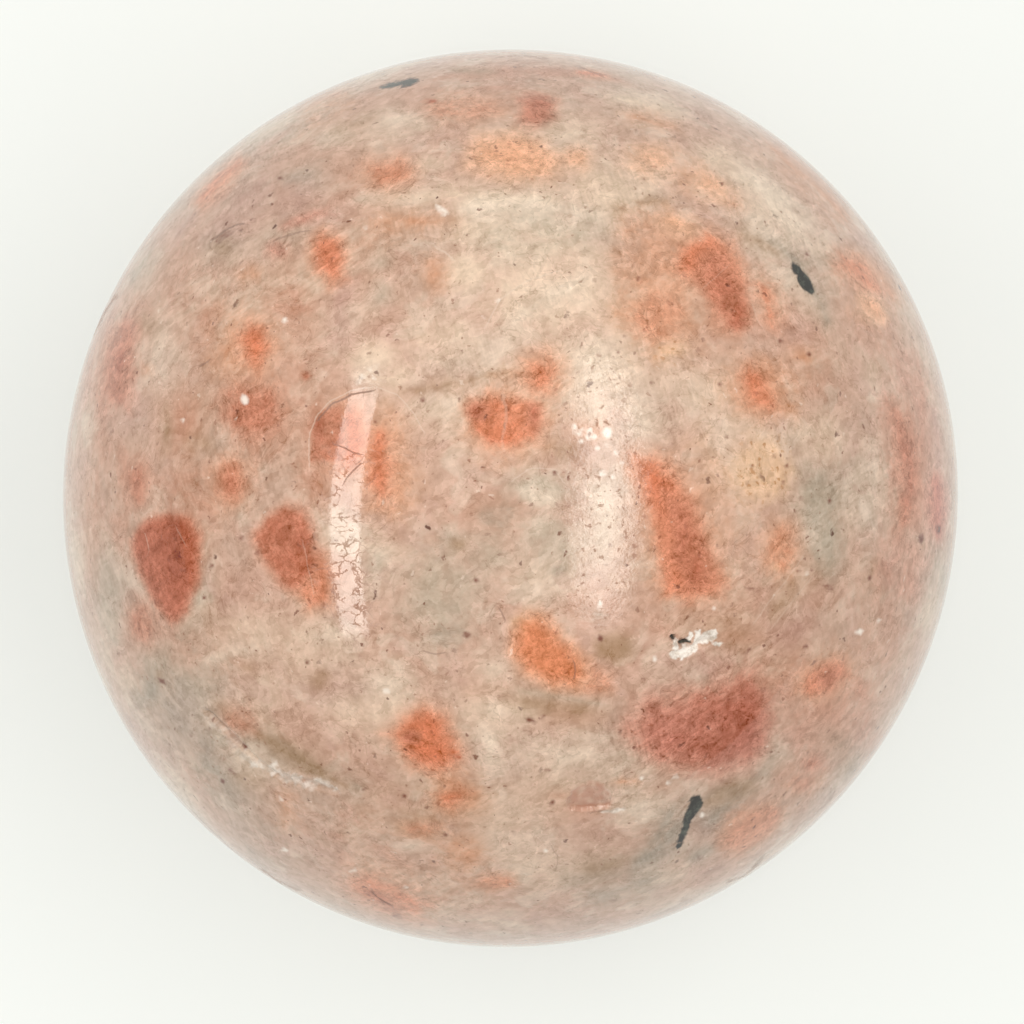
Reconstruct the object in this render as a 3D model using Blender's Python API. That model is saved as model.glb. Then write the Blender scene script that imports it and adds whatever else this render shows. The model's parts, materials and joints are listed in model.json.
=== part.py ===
"""A polished sunstone sphere, 60 mm across, as one solid.

It is one lump of feldspar, ground by hand until it was round to about a tenth of a millimetre and then
polished. It stands on a small flat ground at its foot. Three old marks of wear are cut into it: a chip of
two joined hollows, a shallow flake scar with one steep edge, and a fracture that broke out along its line.

Metres, +Z up. The origin is the middle of the flat, so the ball stands on the ground plane. Places on the
ball are given as seen from straight above: so far east (+X) and north (+Y) of its top.
"""

import math
import random

import bmesh
import bpy
from mathutils import Matrix, Vector

# Driving dimensions
RADIUS = 0.030  # a sphere sold as 60 mm
FLAT_RADIUS = 0.003  # the foot, just wide enough to keep the ball from rolling

# What hand grinding left: shallow lobes round the ball, each so high and with a crest at this azimuth
OVAL_HEIGHT, OVAL_AZIMUTH = 0.000086, math.radians(60.3)
THREE_LOBE_HEIGHT, THREE_LOBE_AZIMUTH = 0.000054, math.radians(18.4)
CROWN_HEIGHT = 0.000060  # the same from top to foot: the ball is this much shorter at its poles
CENTRE_HEIGHT = math.sqrt((RADIUS - CROWN_HEIGHT) ** 2 - FLAT_RADIUS**2)
BALL_LEVEL = 5  # 5120 triangles, which follow the true ball within 0.02 mm
FOOT_FINE_RADIUS = 2 * FLAT_RADIUS  # the mesh is finer round the foot, so that the flat comes out round
FOOT_CUTS = 3

# Hollows of the chip: (east, north, half length, half width, depth, turn in degrees)
CHIP_HOLLOWS = (
    (0.01067, -0.00915, 0.00085, 0.00080, 0.00048, 0),
    (0.01190, -0.00896, 0.00100, 0.00055, 0.00032, 28),
    (0.01010, -0.00860, 0.00035, 0.00030, 0.00040, -30),
)

# The flake scar: a shallow flake that was knocked out, deepest along its south edge. The outline's corners
# are so far east and north of the middle of that edge, along the surface
SCAR_EDGE_PLACE = (0.00500, -0.01968)
SCAR_OUTLINE = (
    (-0.00145, 0.00000),
    (0.00125, -0.00012),
    (0.00155, 0.00045),
    (0.00125, 0.00160),
    (0.00010, 0.00215),
    (-0.00100, 0.00165),
)
SCAR_DEPTH = 0.00030
SCAR_TILT = math.radians(9)

# The fracture: its route from west to east, and the row of little hollows that broke out along it
FRACTURE_ROUTE = (
    (-0.01905, -0.01376),
    (-0.01821, -0.01438),
    (-0.01681, -0.01576),
    (-0.01598, -0.01658),
    (-0.01439, -0.01770),
    (-0.01290, -0.01784),
    (-0.01112, -0.01837),
)
FRACTURE_STEP = 0.00055
FRACTURE_HALF_LENGTH, FRACTURE_HALF_WIDTH, FRACTURE_DEPTH = 0.00048, 0.00020, 0.00014
FRACTURE_UNEVEN = 0.35  # how far each hollow may differ from that, as a share
FRACTURE_SEED = 7

HOLLOW_LEVEL = 2
HOLLOW_ROUGH = 0.12  # how far a corner of a hollow may lie in or out, as a share of its size
CUTTER_MARGIN = 0.010

STONE_COLOUR = (0.62, 0.41, 0.30, 1.0)  # pinkish beige, linear
STONE_ROUGHNESS = 0.12
STONE_IOR = 1.54


def clear_scene():
    for obj in list(bpy.data.objects):
        bpy.data.objects.remove(obj, do_unlink=True)


def ball_radius(direction):
    """The radius of the hand-ground ball in a direction of length 1."""
    azimuth = math.atan2(direction.y, direction.x)
    level = direction.x**2 + direction.y**2  # 1 at the equator, 0 at the poles
    oval = OVAL_HEIGHT * math.cos(2 * (azimuth - OVAL_AZIMUTH))
    three_lobe = THREE_LOBE_HEIGHT * math.cos(3 * (azimuth - THREE_LOBE_AZIMUTH))
    return RADIUS + level * (oval + three_lobe) - (1 - level) * CROWN_HEIGHT


def direction_above(east, north):
    """The direction from the ball's centre to the point of its upper half at this place."""
    up = math.sqrt(RADIUS**2 - east**2 - north**2)
    return Vector((east, north, up)).normalized()


def place_on_ball(east, north, turn=0.0):
    """A matrix whose origin lies on the ball there, with +Z straight out and +X turned from east."""
    out = direction_above(east, north)
    north_axis = (Vector((0, 1, 0)) - out * out.y).normalized()
    east_axis = north_axis.cross(out)
    axes = Matrix((east_axis, north_axis, out)).transposed().to_4x4()
    foot = Vector((0, 0, CENTRE_HEIGHT)) + out * ball_radius(out)
    return Matrix.Translation(foot) @ axes @ Matrix.Rotation(turn, 4, "Z")


def mesh_object(name, form):
    """Turns a bmesh into an object of the scene."""
    mesh = bpy.data.meshes.new(name)
    form.to_mesh(mesh)
    form.free()
    obj = bpy.data.objects.new(name, mesh)
    bpy.context.scene.collection.objects.link(obj)
    return obj


def make_cutter(name, form, cutters):
    """An object that only cuts: out of the render, drawn as wire, in the cutters' collection."""
    obj = mesh_object(name, form)
    bpy.context.scene.collection.objects.unlink(obj)
    cutters.objects.link(obj)
    obj.hide_render = True
    obj.display_type = "WIRE"
    return obj


def hollow_form(half_length, half_width, depth, rough, dice):
    """A lumpy egg with flat facets, like the inside of a hollow that broke out of stone."""
    form = bmesh.new()
    bmesh.ops.create_icosphere(form, subdivisions=HOLLOW_LEVEL, radius=1.0)
    for vert in form.verts:
        vert.co *= 1 + dice.uniform(-rough, rough)
    bmesh.ops.scale(form, vec=(half_length, half_width, depth), verts=form.verts)
    return form


def cut_chip(cutters):
    dice = random.Random(FRACTURE_SEED)
    for index, (east, north, length, width, depth, turn) in enumerate(CHIP_HOLLOWS):
        form = hollow_form(length, width, depth, HOLLOW_ROUGH, dice)
        form.transform(place_on_ball(east, north, math.radians(turn)))
        make_cutter(f"chip_hollow_{index}", form, cutters)


def cut_scar(cutters):
    """A prism on the scar's outline, tilted so that its floor runs out to nothing in the north."""
    form = bmesh.new()
    corners = [form.verts.new((east, north, 0)) for east, north in SCAR_OUTLINE]
    floor = form.faces.new(corners)
    walls = bmesh.ops.extrude_face_region(form, geom=[floor])
    raised = [part for part in walls["geom"] if isinstance(part, bmesh.types.BMVert)]
    bmesh.ops.translate(form, vec=(0, 0, CUTTER_MARGIN / 4), verts=raised)
    bmesh.ops.recalc_face_normals(form, faces=form.faces)
    tilted_floor = Matrix.Translation((0, 0, -SCAR_DEPTH)) @ Matrix.Rotation(SCAR_TILT, 4, "X")
    form.transform(place_on_ball(*SCAR_EDGE_PLACE) @ tilted_floor)
    make_cutter("scar_flake", form, cutters)


def points_along(route, step):
    """Points at even steps along a route, each with the direction that the route has there."""
    found = []
    for start, end in zip(route, route[1:]):
        start, end = Vector(start), Vector(end)
        count = max(1, round((end - start).length / step))
        for index in range(count):
            found.append((start.lerp(end, (index + 0.5) / count), end - start))
    return found


def cut_fracture(cutters):
    dice = random.Random(FRACTURE_SEED)
    for index, (point, along) in enumerate(points_along(FRACTURE_ROUTE, FRACTURE_STEP)):
        size = 1 + dice.uniform(-FRACTURE_UNEVEN, FRACTURE_UNEVEN)
        width = FRACTURE_HALF_WIDTH * size
        form = hollow_form(FRACTURE_HALF_LENGTH, width, FRACTURE_DEPTH * size, HOLLOW_ROUGH, dice)
        form.transform(place_on_ball(point.x, point.y, math.atan2(along.y, along.x)))
        make_cutter(f"fracture_hollow_{index:02d}", form, cutters)


def cut_foot(cutters):
    """A block under the ground plane, which takes the foot off flat."""
    form = bmesh.new()
    bmesh.ops.create_cube(form, size=1.0)
    across = 2 * FLAT_RADIUS + CUTTER_MARGIN
    bmesh.ops.scale(form, vec=(across, across, CUTTER_MARGIN), verts=form.verts)
    bmesh.ops.translate(form, vec=(0, 0, -CUTTER_MARGIN / 2), verts=form.verts)
    make_cutter("foot_block", form, cutters)


def make_stone_material():
    material = bpy.data.materials.new("polished_sunstone")
    material.use_nodes = True
    shader = material.node_tree.nodes["Principled BSDF"]
    shader.inputs["Base Color"].default_value = STONE_COLOUR
    shader.inputs["Roughness"].default_value = STONE_ROUGHNESS
    shader.inputs["Metallic"].default_value = 0.0
    shader.inputs["IOR"].default_value = STONE_IOR
    material.diffuse_color = STONE_COLOUR
    return material


def ball_form():
    """The hand-ground ball before its foot and its wear are cut."""
    form = bmesh.new()
    bmesh.ops.create_icosphere(form, subdivisions=BALL_LEVEL, radius=RADIUS)
    near_foot = {vert for vert in form.verts if vert.co.z < 0 and vert.co.xy.length < FOOT_FINE_RADIUS}
    edges = [edge for edge in form.edges if near_foot.issuperset(edge.verts)]
    bmesh.ops.subdivide_edges(form, edges=edges, cuts=FOOT_CUTS, use_grid_fill=True)
    bmesh.ops.triangulate(form, faces=form.faces)
    for vert in form.verts:
        direction = vert.co.normalized()
        vert.co = Vector((0, 0, CENTRE_HEIGHT)) + direction * ball_radius(direction)
    return form


def make_stone(cutters):
    stone = mesh_object("sunstone_sphere", ball_form())
    stone.data.materials.append(make_stone_material())
    stone.data.shade_smooth()
    stone.data.set_sharp_from_angle(angle=math.radians(30))

    cut = stone.modifiers.new("wear_and_foot", "BOOLEAN")
    cut.operation = "DIFFERENCE"
    cut.solver = "EXACT"
    cut.operand_type = "COLLECTION"
    cut.collection = cutters
    return stone


def main():
    clear_scene()
    cutters = bpy.data.collections.new("cutters")
    bpy.context.scene.collection.children.link(cutters)
    cut_foot(cutters)
    cut_chip(cutters)
    cut_scar(cutters)
    cut_fracture(cutters)
    make_stone(cutters)


main()
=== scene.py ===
# %% [markdown]
# # A polished sunstone sphere
#
# Sunstone is a feldspar: a pale, milky rock crystal with thin red flakes of hematite in it. This one was
# sawn, ground to a ball 60 mm across by hand, and polished until it shone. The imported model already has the
# ball, its flat foot and its three places of wear. This script builds the fine surface and the looks round
# that model, in the same place and at the same size.

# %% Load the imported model
import json
import math
import random

import bmesh
import bpy
import numpy as np
from mathutils import Matrix, Vector, noise

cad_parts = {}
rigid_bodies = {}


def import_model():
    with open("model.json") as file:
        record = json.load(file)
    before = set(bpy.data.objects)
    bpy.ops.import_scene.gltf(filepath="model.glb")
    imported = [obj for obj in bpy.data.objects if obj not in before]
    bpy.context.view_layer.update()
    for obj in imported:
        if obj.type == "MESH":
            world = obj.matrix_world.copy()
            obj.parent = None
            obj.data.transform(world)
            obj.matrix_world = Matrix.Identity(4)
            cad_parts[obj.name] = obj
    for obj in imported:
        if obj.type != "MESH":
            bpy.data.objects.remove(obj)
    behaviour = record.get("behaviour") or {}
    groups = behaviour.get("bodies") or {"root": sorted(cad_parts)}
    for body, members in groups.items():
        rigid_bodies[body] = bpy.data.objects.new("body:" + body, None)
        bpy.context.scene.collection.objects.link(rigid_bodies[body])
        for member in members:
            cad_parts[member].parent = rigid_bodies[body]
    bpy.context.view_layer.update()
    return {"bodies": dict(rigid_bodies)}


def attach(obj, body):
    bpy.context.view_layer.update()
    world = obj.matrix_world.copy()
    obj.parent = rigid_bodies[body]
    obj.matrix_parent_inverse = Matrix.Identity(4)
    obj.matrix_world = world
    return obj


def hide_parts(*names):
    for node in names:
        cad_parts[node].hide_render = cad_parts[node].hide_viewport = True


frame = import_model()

BODY = next(iter(frame["bodies"]))
NODE = "sunstone_sphere"


# %% [markdown]
# ## Where the camera stands
#
# The stone is seen from straight above, from about ten times its radius. From so near, the camera sees
# a little less than half of the ball, and what is close to it looks larger than the rim. So a mark is read
# off the picture in "picture millimetres": the rim of the ball counts as 30 of them from its middle. One
# function turns such a place into a point on the ball, by sending a ray out from the camera.

# %% The camera
MM = 0.001
RADIUS = 30 * MM
CENTRE = Vector((0, 0, 29.789 * MM))
CAMERA_DISTANCE = 320 * MM
CAMERA_SIDESTEP = Vector((0.134 * MM, -0.961 * MM, 0))  # puts the ball a little off the picture's middle
LENS, SENSOR = 167.4, 36.0

camera = bpy.data.objects.new("camera", bpy.data.cameras.new("camera"))
camera.data.lens = LENS
camera.data.sensor_width = SENSOR
camera.data.clip_start, camera.data.clip_end = 0.01, 10
camera.location = CENTRE + Vector((0, 0, CAMERA_DISTANCE)) + CAMERA_SIDESTEP
bpy.context.scene.collection.objects.link(camera)
bpy.context.scene.camera = camera

RIM_SLOPE = RADIUS / math.sqrt(CAMERA_DISTANCE**2 - RADIUS**2)  # of the ray that touches the rim


def seen_at(east, north):
    """The point of the ball that the camera sees at this place, in picture millimetres."""
    slope = Vector((east, north, 0)) * (RIM_SLOPE / 30) - CAMERA_SIDESTEP / CAMERA_DISTANCE
    ray = (slope + Vector((0, 0, -1))).normalized()
    to_centre = CENTRE - camera.location
    nearest = to_centre.dot(ray)
    inside = RADIUS**2 - (to_centre.length_squared - nearest**2)
    return camera.location + ray * (nearest - math.sqrt(max(inside, 0.0)))


print("the camera stands", round(camera.location.z * 1000), "mm above the table")

# %% [markdown]
# ## The ball
#
# A ball that is ground by hand is never quite round. Its outline has a long oval swell and three very low
# lobes, each less than a tenth of a millimetre high. A sphere of triangles could be bent by hand, but the
# swell follows a rule, so Geometry Nodes suit it: the tree takes a rough sphere, works out the radius for
# each direction, and moves each point there. The foot is ground flat by holding every point above the
# table. The rough sphere gets finer triangles first wherever the surface is chipped or has a crisp mark.

# %% A function that adds a node, and one for colours
# Short names for the kinds of node that are used most
MATH, VECTOR_MATH, MAP_RANGE = "ShaderNodeMath", "ShaderNodeVectorMath", "ShaderNodeMapRange"
MIX, MAPPING = "ShaderNodeMix", "ShaderNodeMapping"
NOISE, VORONOI = "ShaderNodeTexNoise", "ShaderNodeTexVoronoi"


def feed(node, inputs):
    """Fills inputs of a node, each with a node, one output of a node, or a plain value."""
    for name, value in inputs.items():
        if isinstance(value, bpy.types.Node):
            value = next(output for output in value.outputs if output.enabled)
        if isinstance(value, bpy.types.NodeSocket):
            node.id_data.links.new(value, node.inputs[name])
        else:
            node.inputs[name].default_value = value


def add(tree, kind, inputs=None, **settings):
    """Adds a node to a tree, with its settings and with what goes into it."""
    node = tree.nodes.new(kind)
    for name, value in settings.items():
        setattr(node, name, value)
    feed(node, inputs or {})
    return node


def linear(hex_colour):
    """A colour such as "c8a07a" as Blender's linear red, green and blue, with an alpha of 1."""
    parts = [int(hex_colour[start:start + 2], 16) / 255 for start in (0, 2, 4)]
    return [part / 12.92 if part <= 0.04045 else ((part + 0.055) / 1.055) ** 2.4 for part in parts] + [1.0]


# %% The rough sphere, finer where there is something to show
ROUGH_LEVEL = 7  # edges about half a millimetre long
CHIP = (11.9, -9.8)
SCAR = (5.4, -20.2)
FRACTURE = ((-20.1, -14.5), (-19.3, -15.2), (-17.8, -16.7), (-16.9, -17.6),
            (-15.3, -18.8), (-13.7, -19.0), (-11.8, -19.6))
NEEDLES = ((-7.4, 27.8), (19.6, 14.7), (12.0, -21.8))


def along(route, step):
    """Points at even steps along a route."""
    found = [route[0]]
    for (x0, y0), (x1, y1) in zip(route, route[1:]):
        count = max(1, round(math.hypot(x1 - x0, y1 - y0) / step))
        found += [(x0 + (x1 - x0) * i / count, y0 + (y1 - y0) * i / count) for i in range(1, count + 1)]
    return found


# Areas with finer triangles: after each pass their edges are half as long. Each has a reach in metres
TOP = Vector((0, 0, 1))
CRACK_PLACES = along(FRACTURE, 0.8)
FINE_AREAS = [
    [(TOP, 23 * MM)],
    [(spot, 2.6 * MM) for spot in (CHIP, SCAR, *NEEDLES)] + [(spot, 1.3 * MM) for spot in CRACK_PLACES],
    [(spot, 2.2 * MM) for spot in (CHIP, SCAR)] + [(spot, 1.0 * MM) for spot in CRACK_PLACES],
]


def rough_sphere():
    form = bmesh.new()
    bmesh.ops.create_icosphere(form, subdivisions=ROUGH_LEVEL, radius=1.0)
    for areas in FINE_AREAS:
        reached = set()
        for spot, reach in areas:
            direction = spot if spot is TOP else (seen_at(*spot) - CENTRE).normalized()
            reached.update(vert for vert in form.verts if (vert.co - direction).length < reach / RADIUS)
        edges = [edge for edge in form.edges if reached.issuperset(edge.verts)]
        bmesh.ops.subdivide_edges(form, edges=edges, cuts=1, use_grid_fill=True)
        bmesh.ops.triangulate(form, faces=[face for face in form.faces if len(face.verts) > 3])
        for vert in form.verts:
            vert.co.normalize()
    mesh = bpy.data.meshes.new("rough_sphere")
    form.to_mesh(mesh)
    form.free()
    return mesh


rough = bpy.data.objects.new("rough_sphere", rough_sphere())
bpy.context.scene.collection.objects.link(rough)
print("the rough sphere has", len(rough.data.polygons), "triangles")

# %% The tree that grinds it
GRINDING = {
    "Radius": RADIUS,
    "Oval height": 0.086 * MM,
    "Oval crest": math.radians(60.3),
    "Three lobe height": 0.054 * MM,
    "Three lobe crest": math.radians(18.4),
    "Crown height": 0.060 * MM,
    "Centre height": CENTRE.z,
}

stone = bpy.data.materials.new("polished_feldspar")
stone.use_nodes = True

grind = bpy.data.node_groups.new("hand_ground_ball", "GeometryNodeTree")
grind.interface.new_socket("Geometry", in_out="INPUT", socket_type="NodeSocketGeometry")
for name in GRINDING:
    grind.interface.new_socket(name, in_out="INPUT", socket_type="NodeSocketFloat")
grind.interface.new_socket("Stone", in_out="INPUT", socket_type="NodeSocketMaterial")
grind.interface.new_socket("Geometry", in_out="OUTPUT", socket_type="NodeSocketGeometry")

given = add(grind, "NodeGroupInput").outputs
position = add(grind, "GeometryNodeInputPosition")
direction = add(grind, VECTOR_MATH, {0: position}, operation="NORMALIZE")
part = add(grind, "ShaderNodeSeparateXYZ", {0: direction}).outputs
azimuth = add(grind, MATH, {0: part["Y"], 1: part["X"]}, operation="ARCTAN2")
swell = 0.0
for lobes, shape in ((2, "Oval"), (3, "Three lobe")):
    from_crest = add(grind, MATH, {0: azimuth, 1: given[shape + " crest"]}, operation="SUBTRACT")
    lobe_turn = add(grind, MATH, {0: from_crest, 1: lobes}, operation="MULTIPLY")
    wave = add(grind, MATH, {0: lobe_turn}, operation="COSINE")
    swell = add(grind, MATH, {0: wave, 1: given[shape + " height"], 2: swell}, operation="MULTIPLY_ADD")
up_squared = add(grind, MATH, {0: part["Z"], 1: 2.0}, operation="POWER")
level = add(grind, MATH, {0: 1.0, 1: up_squared}, operation="SUBTRACT")
crown = add(grind, MATH, {0: up_squared, 1: given["Crown height"]}, operation="MULTIPLY")
crowned = add(grind, MATH, {0: given["Radius"], 1: crown}, operation="SUBTRACT")
radius = add(grind, MATH, {0: level, 1: swell, 2: crowned}, operation="MULTIPLY_ADD")
scaled = add(grind, VECTOR_MATH, {0: direction, "Scale": radius}, operation="SCALE")
centre = add(grind, "ShaderNodeCombineXYZ", {"Z": given["Centre height"]})
raised = add(grind, VECTOR_MATH, {0: scaled, 1: centre}, operation="ADD")
on_table = add(grind, VECTOR_MATH, {0: raised, 1: (-1.0, -1.0, 0.0)}, operation="MAXIMUM")
ground = add(grind, "GeometryNodeSetPosition", {"Geometry": given["Geometry"], "Position": on_table})
smooth = add(grind, "GeometryNodeSetShadeSmooth", {"Geometry": ground})
whole = add(grind, "GeometryNodeRealizeInstances", {"Geometry": smooth})
dressed = add(grind, "GeometryNodeSetMaterial", {"Geometry": whole, "Material": given["Stone"]})
add(grind, "NodeGroupOutput", {"Geometry": dressed})

# %% Grind the ball and keep the result as a plain mesh
grinder = rough.modifiers.new("grinding", "NODES")
grinder.node_group = grind
grinder_values = {**GRINDING, "Stone": stone}
for socket in grind.interface.items_tree:
    if socket.in_out == "INPUT" and socket.name in grinder_values:
        grinder[socket.identifier] = grinder_values[socket.name]

graph = bpy.context.evaluated_depsgraph_get()
ball_mesh = bpy.data.meshes.new_from_object(rough.evaluated_get(graph))
bpy.data.objects.remove(rough)
ball = bpy.data.objects.new("sunstone_ball", ball_mesh)
ball_mesh.name = "sunstone_ball"
bpy.context.scene.collection.objects.link(ball)

points = np.zeros(len(ball_mesh.vertices) * 3, np.float32)
ball_mesh.vertices.foreach_get("co", points)
points = points.reshape(-1, 3).astype(float)
outward = points - np.array(CENTRE)
outward /= np.linalg.norm(outward, axis=1)[:, None]
print("the ball is", round(np.ptp(points[:, 2]) * 1000, 2), "mm high")

# %% [markdown]
# ## Reading places off the picture
#
# Marks and chips are drawn as they look in the picture, so an oval near the rim has to spread out as it is
# laid on the ball. At each place a flat patch touches the ball, and a small matrix says how far a step on
# it shows in the picture. Steps of the mesh's points then turn into picture millimetres with one product.

# %% Places on the ball
SIDE = 0.05  # a short step, in picture millimetres
OUTERMOST = 29.9  # no place is taken farther out than this, because its patch would stand on edge


class Place:
    """A patch of the ball round one spot, on which distances are measured as they look."""

    def __init__(self, spot, east_step, north_step):
        self.spot = np.array(spot)
        self.out = (self.spot - np.array(CENTRE)) / RADIUS
        self.to_picture = np.linalg.pinv(np.array([east_step, north_step]).T)

    def steps(self, where):
        """Steps east and north from the spot to these points of the mesh."""
        return (where - self.spot) @ self.to_picture.T

    def near(self, reach):
        """Which points of the mesh lie within this reach, in metres."""
        return np.linalg.norm(points - self.spot, axis=1) < reach


def place_seen(east, north):
    pull = 1 / max(1.0, math.hypot(east, north) / OUTERMOST)
    east, north = east * pull, north * pull
    east_step = (seen_at(east + SIDE, north) - seen_at(east - SIDE, north)) / (2 * SIDE)
    north_step = (seen_at(east, north + SIDE) - seen_at(east, north - SIDE)) / (2 * SIDE)
    return Place(seen_at(east, north), east_step, north_step)


# %% Shapes and noise on a patch
def noise_at(where, size, seed):
    """Smooth noise from -1 to 1 at points of the mesh, with lumps of about this size in metres."""
    shift = Vector((seed * 7.3, seed * 3.1, seed * 5.7))
    return np.array([noise.noise(Vector(point) / size + shift) for point in where])


def oval_inside(steps, half_length, half_width, turn):
    """How far inside an oval each step lies; negative outside."""
    cosine, sine = math.cos(math.radians(turn)), math.sin(math.radians(turn))
    x = steps[:, 0] * cosine + steps[:, 1] * sine
    y = steps[:, 1] * cosine - steps[:, 0] * sine
    near = np.hypot(x / half_length, y / half_width) + 1e-6
    slope = np.hypot(x / half_length**2, y / half_width**2) + 1e-6
    return near * (1 - near) / slope


def from_segment(steps, start, end):
    """How far each step is from a straight piece, its share of the way along, and its side: 1 is left."""
    east, north = end[0] - start[0], end[1] - start[1]
    x, y = steps[:, 0] - start[0], steps[:, 1] - start[1]
    share = (x * east + y * north) / (east**2 + north**2)
    held = np.clip(share, 0, 1)
    return np.hypot(x - held * east, y - held * north), share, np.sign(y * east - x * north)


def outline_inside(steps, corners):
    """How far inside a closed outline each step lies; negative outside."""
    shortest = np.full(len(steps), np.inf)
    inside = np.zeros(len(steps), bool)
    for (x0, y0), (x1, y1) in zip(corners, corners[1:] + corners[:1]):
        shortest = np.minimum(shortest, from_segment(steps, (x0, y0), (x1, y1))[0])
        if y0 != y1:
            crosses = (y0 > steps[:, 1]) != (y1 > steps[:, 1])
            inside ^= crosses & (steps[:, 0] < x0 + (steps[:, 1] - y0) * (x1 - x0) / (y1 - y0))
    return np.where(inside, shortest, -shortest)


# %% [markdown]
# ## The chip, the flake scar and the fracture
#
# Three old knocks broke the polish. The chip is a pair of ragged hollows full of white crushed stone. The
# scar is where a thin flake sprang off and left one steep edge. The fracture is a crack that came up to the
# surface and crumbled along its line, and white crumbs of stone lie along its lower lip. They could be
# bump only, but a knock has real depth, so the points of the mesh are pushed in here. Two values go with
# them for the stone's material: how much white powder and how much dull, broken surface a point has.

# %% Push in the chip
depth = np.zeros(len(points))
powder = np.zeros(len(points))
broken = np.zeros(len(points))

# (east, north, half length, half width, turn, depth in mm)
CHIP_HOLLOWS = (
    (11.70, -9.85, 0.62, 0.36, -10, 0.46),
    (11.00, -9.45, 0.26, 0.32, 20, 0.34),
    (13.00, -9.72, 0.85, 0.40, 24, 0.20),
    (11.60, -10.35, 0.80, 0.30, 8, 0.16),
)
CHIP_POWDER = (
    (11.50, -10.45, 0.75, 0.28, 8),
    (12.35, -10.05, 0.38, 0.26, 40),
    (13.10, -9.50, 0.72, 0.30, 12),
    (13.60, -9.25, 0.24, 0.34, 20),
    (12.60, -9.15, 0.14, 0.22, 0),
    (11.15, -9.95, 0.22, 0.34, 0),
    (12.10, -9.35, 0.14, 0.22, 0),
    (13.90, -9.80, 0.16, 0.12, 0),
)

chip_place = place_seen(*CHIP)
near_chip = chip_place.near(3.2 * MM)
chip_steps = chip_place.steps(points[near_chip]) + CHIP
ragged = 0.16 * noise_at(points[near_chip], 0.40 * MM, 1) + 0.14 * noise_at(points[near_chip], 0.20 * MM, 2)
for east, north, half_length, half_width, turn, deep in CHIP_HOLLOWS:
    inside = oval_inside(chip_steps - (east, north), half_length, half_width, turn) + ragged
    hollow = deep * MM * np.clip(inside / min(half_length, half_width), 0, 1) ** 0.6
    depth[near_chip] = np.maximum(depth[near_chip], hollow)
    broken[near_chip] = np.maximum(broken[near_chip], np.clip(inside / 0.08 + 0.5, 0, 1))
for east, north, half_length, half_width, turn in CHIP_POWDER:
    inside = oval_inside(chip_steps - (east, north), half_length, half_width, turn) + ragged
    powder[near_chip] = np.maximum(powder[near_chip], np.clip(inside / 0.10 + 1.0, 0, 1))
print("the chip is", round(depth.max() * 1000, 2), "mm deep")

# %% Push in the flake scar
SCAR_OUTLINE = [(4.1, -21.05), (5.6, -21.0), (6.75, -20.75), (6.8, -20.1), (6.5, -19.3), (5.4, -18.95),
                (4.4, -19.2), (3.7, -20.2)]
SCAR_DEPTH = 0.26 * MM

scar_place = place_seen(*SCAR)
near_scar = scar_place.near(4.5 * MM)
scar_points = points[near_scar]
scar_steps = scar_place.steps(scar_points)
inside = outline_inside(scar_steps + SCAR, SCAR_OUTLINE)
inside += 0.22 * noise_at(scar_points, 0.7 * MM, 3) + 0.10 * noise_at(scar_points, 0.3 * MM, 8)
run_out = np.clip((0.9 - scar_steps[:, 1]) / 1.7, 0, 1)  # 1 at the steep south edge, 0 at the north end
scar_floor = SCAR_DEPTH * run_out * (1 + 0.15 * noise_at(scar_points, 0.5 * MM, 4))
depth[near_scar] = np.maximum(depth[near_scar], scar_floor * np.clip(inside / 0.14, 0, 1))
lumps = noise_at(scar_points, 0.45 * MM, 9)
scar_tint = np.zeros(len(points))
scar_tint[near_scar] = np.clip(inside / 0.35 + 0.3, 0, 1) * np.clip(0.75 + 0.9 * lumps, 0, 1)

# %% Push in the fracture
FRACTURE_WIDTH, FRACTURE_DEPTH = 0.24, 0.15 * MM
FRACTURE_TURN = -38  # degrees, from east
for east, north in along(FRACTURE, 0.5):
    place = place_seen(east, north)
    near = place.near(1.6 * MM)
    crack = oval_inside(place.steps(points[near]), 0.5, FRACTURE_WIDTH, FRACTURE_TURN)
    crack += 0.10 * noise_at(points[near], 0.5 * MM, 5)
    depth[near] = np.maximum(depth[near], FRACTURE_DEPTH * np.clip(crack / FRACTURE_WIDTH, 0, 1))
    broken[near] = np.maximum(broken[near], 0.7 * np.clip(crack / 0.1, 0, 1))

# %% Lay white crumbs along its lower lip
LIP = ((-20.4, -14.6), (-18.6, -16.2), (-17.9, -17.2), (-16.8, -17.8), (-15.7, -18.25), (-14.9, -18.75),
       (-13.1, -19.2), (-12.4, -19.0), (-11.8, -19.5))
WEST_END = LIP[2][0]  # to the west of here the lip is only a fine pale edge
# (east, north, half length, half width, turn, how white): the first two lie on the scar's steep edge
crumbs = [(7.15, -20.95, 0.50, 0.14, 12, 0.7), (6.45, -21.05, 0.40, 0.08, 5, 0.6)]
dice = random.Random(4)
for east, north in along(LIP, 0.26):
    full = 1.0 if east > WEST_END else 0.45
    length = dice.uniform(0.14, 0.42)
    crumbs.append((east + dice.uniform(-0.14, 0.14), north + dice.uniform(-0.16, 0.16), length,
                   length * dice.uniform(0.35, 0.7) * full, dice.uniform(-60, 60),
                   dice.uniform(0.35, 0.68) * full))
for east, north, half_length, half_width, turn, white in crumbs:
    place = place_seen(east, north)
    near = place.near(1.6 * MM)
    inside = oval_inside(place.steps(points[near]), half_length, half_width, turn)
    inside += 0.10 * noise_at(points[near], 0.22 * MM, 6)
    powder[near] = np.maximum(powder[near], white * np.clip(inside / 0.10 + 0.5, 0, 1))

points -= outward * depth[:, None]
print(len(crumbs), "crumbs lie along the lip")

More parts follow.
